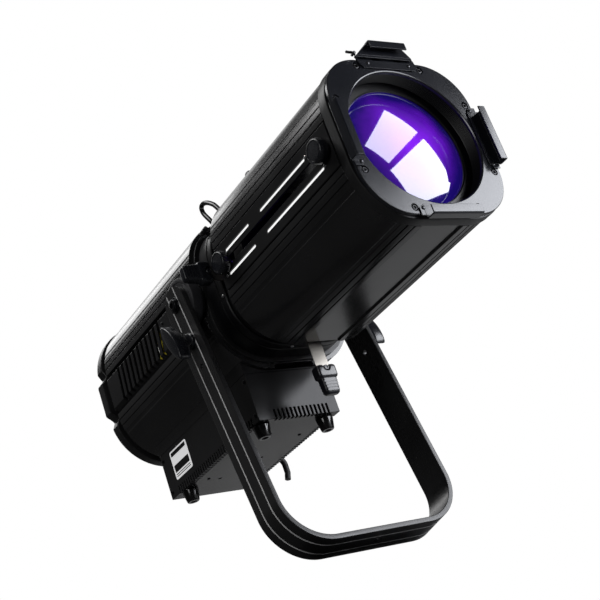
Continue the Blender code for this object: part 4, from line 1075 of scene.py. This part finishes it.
def build_panel():
    low, high = span("control_panel")
    face = high.y
    plate = block(low, high, 2.0)
    window = block((-54, face - 0.9, -124), (-10, face + 5, -108), 1.5)
    wells = [facing(revolve([(3.9, -1.3), (3.9, 5)], 32), (0, 1, 0), (at.x, face, at.z))
             for at in (button_middle(i) for i in range(1, 5))]
    piece("rear_control_panel", carve(plate, window, merge(wells)), "powder", "lamp", "control_panel",
          bevel=0.3)
    piece("display_window", block((-53.6, face - 0.8, -123.6), (-10.4, face - 0.1, -108.4), 1.2), "display",
          "lamp", bevel=0.2)
    for i in range(1, 5):
        at = button_middle(i)
        low, high = span("button_%d" % i)
        profile = [(3.5, low.y), (3.5, high.y - 0.6), (3.2, high.y - 0.15), (2.6, high.y),
                   (1.6, high.y - 0.12), (0.6, high.y - 0.16)]
        cap = facing(revolve(profile, 40), (0, 1, 0), (at.x, 0, at.z))
        piece("button_cap_%d" % i, cap, "rubber", "button_%d" % i, "button_%d" % i, angle=40)
    for name in ("data_socket_in", "data_socket_out"):
        low, high = span(name)
        x, z, r = (low.x + high.x) / 2, (low.z + high.z) / 2, (high.x - low.x) / 2
        front, back = high.y, low.y
        profile = [(r, back), (r, front - 1.2), (r - 0.4, front - 0.4), (r - 1.2, front), (8.2, front),
                   (7.6, front - 0.6), (7.6, front - 2.4)]
        socket = facing(revolve(profile, 64), (0, 1, 0), (x, 0, z))
        piece(name + "_shell", socket, "plastic", "lamp", name, angle=35)
        pins = [facing(revolve([(1.0, front - 2.6), (1.0, front - 0.6), (0.6, front - 0.2)], 16), (0, 1, 0),
                       (x + 4 * math.cos(a), 0, z + 4 * math.sin(a)))
                for a in (math.radians(d) for d in (30, 150, 270))]
        piece(name + "_pins", merge(pins), "bright_screw", "lamp")
    low, high = span("control_panel")
    heads = [screw((x, face, z), (0, 1, 0), 2.0, 1.0, "cross") for x in (low.x + 3.5, high.x - 3.5)
             for z in (low.z + 3.5, high.z - 3.5)]
    piece("control_panel_screws", merge(heads), "screw", "lamp")


def button_middle(i):
    low, high = span("button_%d" % i)
    return (low + high) / 2


def build_cord():
    low, high = span("power_cord")
    y, start = (low.y + high.y) / 2, low.x
    z = high.z - 9.5
    collar = [(start, 9.5), (start + 3, 9.5), (start + 3.8, 9.0), (start + 4.2, 7.6)]
    relief = [(start + 4.4 + 1.1 * i, (7.4 - 0.14 * i) - (0.7 if i % 2 else 0)) for i in range(10)]
    cord, bend = 3.8, 12.0
    path = [((x, y, z), r) for x, r in collar + relief] + [((start + 15.5, y, z), cord)]
    x0 = start + 17
    for i in range(13):
        a = math.pi / 2 * i / 12
        path.append(((x0 + bend * math.sin(a), y, z - bend * (1 - math.cos(a))), cord))
    path += [((x0 + bend, y, z - bend - 10), cord), ((x0 + bend - 1.4, y, z - bend - 14), cord),
             ((x0 + bend - 2.9, y, low.z + 0.3), cord)]
    piece("power_cord_end", pipe([p for p, r in path], [r for p, r in path], 28), "rubber", "lamp",
          "power_cord", angle=50)


def dress_inside():
    for name, look, width in (("heat_sink", "aluminium", 0.3), ("led_board", "emitter", 0.2),
                              ("reflector", "aluminium", 0.0), ("fan_frame", "plastic", 0.4),
                              ("fan_rotor", "plastic", 0.3), ("housing_bulkhead", "cast", 0.4),
                              ("rear_lens", "glass", 0.0), ("rear_lens_holder", "dark", 0.3),
                              ("power_module", "aluminium", 0.8)):
        dress(name, look, width)


# --- stage: floor, light, camera -------------------------------------------------------------


def build_floor():
    """A pale round floor that fades into the backdrop and doesn't show from below."""
    material = bpy.data.materials.new("pale_floor")
    tree = empty_tree(material)
    place = node(tree, "ShaderNodeTexCoord").outputs["Object"]
    cloud = remap(tree, noise(tree, place, 3.0), 0.78, 0.82)
    # Seen by rays other than the camera's, it is dark except towards the lamp's left: painted shade, like a black
    # flag over the rest.
    right = node(tree, "ShaderNodeSeparateXYZ", {"Vector": place}).outputs["X"]
    shade = remap(tree, right, 0.08, 0.7, -0.05, 0.3)
    seen = node(tree, "ShaderNodeLightPath").outputs["Is Camera Ray"]
    colour = node(tree, "ShaderNodeMix", {0: seen, 2: shade, 3: cloud}, data_type="FLOAT").outputs[0]
    pale = node(tree, "ShaderNodeBsdfDiffuse")
    tree.links.new(colour, pale.inputs["Color"])
    clear = node(tree, "ShaderNodeBsdfTransparent")
    away = node(tree, "ShaderNodeVectorMath", {0: place}, operation="LENGTH").outputs["Value"]
    fade = remap(tree, away, 0.0, 1.0, 0.9, 2.6)
    back = node(tree, "ShaderNodeNewGeometry").outputs["Backfacing"]
    hidden = node(tree, "ShaderNodeMath", {0: fade, 1: back}, operation="MAXIMUM").outputs[0]
    both = node(tree, "ShaderNodeMixShader", {0: hidden, 1: pale.outputs[0], 2: clear.outputs[0]})
    out = node(tree, "ShaderNodeOutputMaterial", {"Surface": both.outputs[0]})
    out.is_active_output = True
    bm = bmesh.new()
    bmesh.ops.create_circle(bm, cap_ends=True, segments=96, radius=2.8)
    mesh = bpy.data.meshes.new("floor")
    bm.to_mesh(mesh)
    bm.free()
    mesh.materials.append(material)
    floor = bpy.data.objects.new("floor", mesh)
    floor.location = (0, 0, CAD_BOX[0].z - 0.002)
    bpy.context.scene.collection.objects.link(floor)


VIEW_AZIMUTH, VIEW_ELEVATION, VIEW_ROLL = math.radians(-38.81), math.radians(-22.37), math.radians(20.02)
CAMERA_OFFSET = Vector((-0.8616, -1.1421, -0.6042))
LENS_MM = 78.05


def towards(azimuth, elevation):
    """The direction from the object to something at this azimuth and elevation, in degrees."""
    a, e = math.radians(azimuth), math.radians(elevation)
    return Vector((math.sin(a) * math.cos(e), -math.cos(a) * math.cos(e), math.sin(e)))


def build_camera():
    data = bpy.data.cameras.new("camera")
    data.lens, data.sensor_width = LENS_MM, 36.0
    camera = bpy.data.objects.new("camera", data)
    back = towards(math.degrees(VIEW_AZIMUTH), math.degrees(VIEW_ELEVATION))
    up = (Vector((0, 0, 1)) - back * back.z).normalized()
    up = Matrix.Rotation(VIEW_ROLL, 3, -back) @ up
    right = up.cross(back)
    camera.rotation_mode = "QUATERNION"
    camera.rotation_quaternion = Matrix((right, up, back)).transposed().to_quaternion()
    camera.location = AXIS + CAMERA_OFFSET
    bpy.context.scene.collection.objects.link(camera)
    bpy.context.scene.camera = camera


def soft_box(name, centre, target, across, width, height, power, colour=(1, 1, 1)):
    """A rectangular light at centre that shines on target, its width along across."""
    data = bpy.data.lights.new(name, "AREA")
    data.shape, data.size, data.size_y = "RECTANGLE", width, height
    data.energy, data.color = power, colour
    back = (centre - target).normalized()
    x_axis = (across - back * across.dot(back)).normalized()
    light = bpy.data.objects.new(name, data)
    light.rotation_mode = "QUATERNION"
    light.rotation_quaternion = Matrix((x_axis, back.cross(x_axis), back)).transposed().to_quaternion()
    light.location = centre
    light.visible_camera = False
    bpy.context.scene.collection.objects.link(light)
    return light


def build_lights():
    lens = AXIS + Vector((0, span("front_lens")[0].y, 0)) * MM
    out = towards(38, 21)
    across = Vector((0.606, 0.677, 0.418))
    rise = out.cross(across).normalized()
    rise = rise if rise.z > 0 else -rise
    distance, cool = 2.0, (0.93, 0.95, 1.0)
    # The lens mirrors two patches of its own, one of them from inside the glass; the key light reaches
    # everything else.
    for name, shift, lift, width, height, power, state in (
            ("lens_patch_high", 0.02, 0.42, 1.5, 0.62, 13.0, "INCLUDE"),
            ("lens_patch_low", -0.05, -0.48, 1.6, 0.92, 27.0, "INCLUDE"),
            ("key_light", 0.0, -0.52, 1.7, 0.96, 52.0, "EXCLUDE")):
        target = lens + across * shift + rise * lift
        light = soft_box(name, target + out * distance, target, across, width, height, power, cool)
        linked = bpy.data.collections.new(name + "_on")
        linked.objects.link(bpy.data.objects["front_lens_glass"])
        linked.collection_objects[0].light_linking.link_state = state
        light.light_linking.receiver_collection = linked
    below = Vector((0, 0, -0.05))
    # name, shift of the target, (azimuth, elevation), distance, width's direction, width, height, power
    for name, shift, way, distance, across, width, height, power in (
            ("rim_light", below, (-115, 62), 2.2, (0, 1, 0), 1.6, 0.9, 26.0),
            ("backdrop_light", Vector(), (157, 37), 2.4, (0.9, 0, 0.4), 1.1, 1.0, 2.6),
            ("strip_light", Vector(), (177, 37), 2.4, (1, 0, 0), 0.7, 0.9, 5.0),
            ("low_light", below, (-60, 8), 2.4, (0, 0, 1), 1.2, 0.7, 11.0)):
        target = AXIS + shift
        soft_box(name, target + towards(*way) * distance, target, Vector(across), width, height, power)


def build_world():
    """White to the camera; to everything else a white backdrop behind and a dark room in front."""
    world = bpy.data.worlds.new("studio")
    tree = empty_tree(world)
    way = node(tree, "ShaderNodeTexCoord").outputs["Generated"]
    dot = node(tree, "ShaderNodeVectorMath", {0: way, 1: tuple(-towards(-28, -22))}, operation="DOT_PRODUCT")
    glow = remap(tree, dot.outputs["Value"], 0.02, 0.16, 0.3, 0.9)
    room = node(tree, "ShaderNodeBackground", {"Color": (1, 1, 1, 1)})
    tree.links.new(glow, room.inputs["Strength"])
    white = node(tree, "ShaderNodeBackground", {"Color": (1, 1, 1, 1), "Strength": 1.0})
    seen = node(tree, "ShaderNodeLightPath").outputs["Is Camera Ray"]
    both = node(tree, "ShaderNodeMixShader", {0: seen, 1: room.outputs[0], 2: white.outputs[0]})
    node(tree, "ShaderNodeOutputWorld", {"Surface": both.outputs[0]})
    bpy.context.scene.world = world


# --- assembly --------------------------------------------------------------------------------

build_plate()
build_bezel()
build_holders()
build_retainer()
build_front_lens()
build_barrel()
build_carriage_knob("focus_knob", "focus_knob_turn", "focus_knob")
build_carriage_knob("zoom_knob", "zoom_knob_turn", "zoom_knob")
build_gate()
build_eye()
build_lock_screw()
for side, turn in SHUTTERS.items():
    build_shutter(side, turn)
build_housing()
build_rear_cap()
build_inside()
build_pivots()
build_yoke()
for word, side in (("right", -1), ("left", 1)):
    build_tilt_knob(word, side)
build_driver_box()
build_feet()
build_panel()
build_cord()
dress_inside()
build_floor()
build_camera()
build_lights()
build_world()
bpy.context.scene.view_settings.view_transform = "Standard"
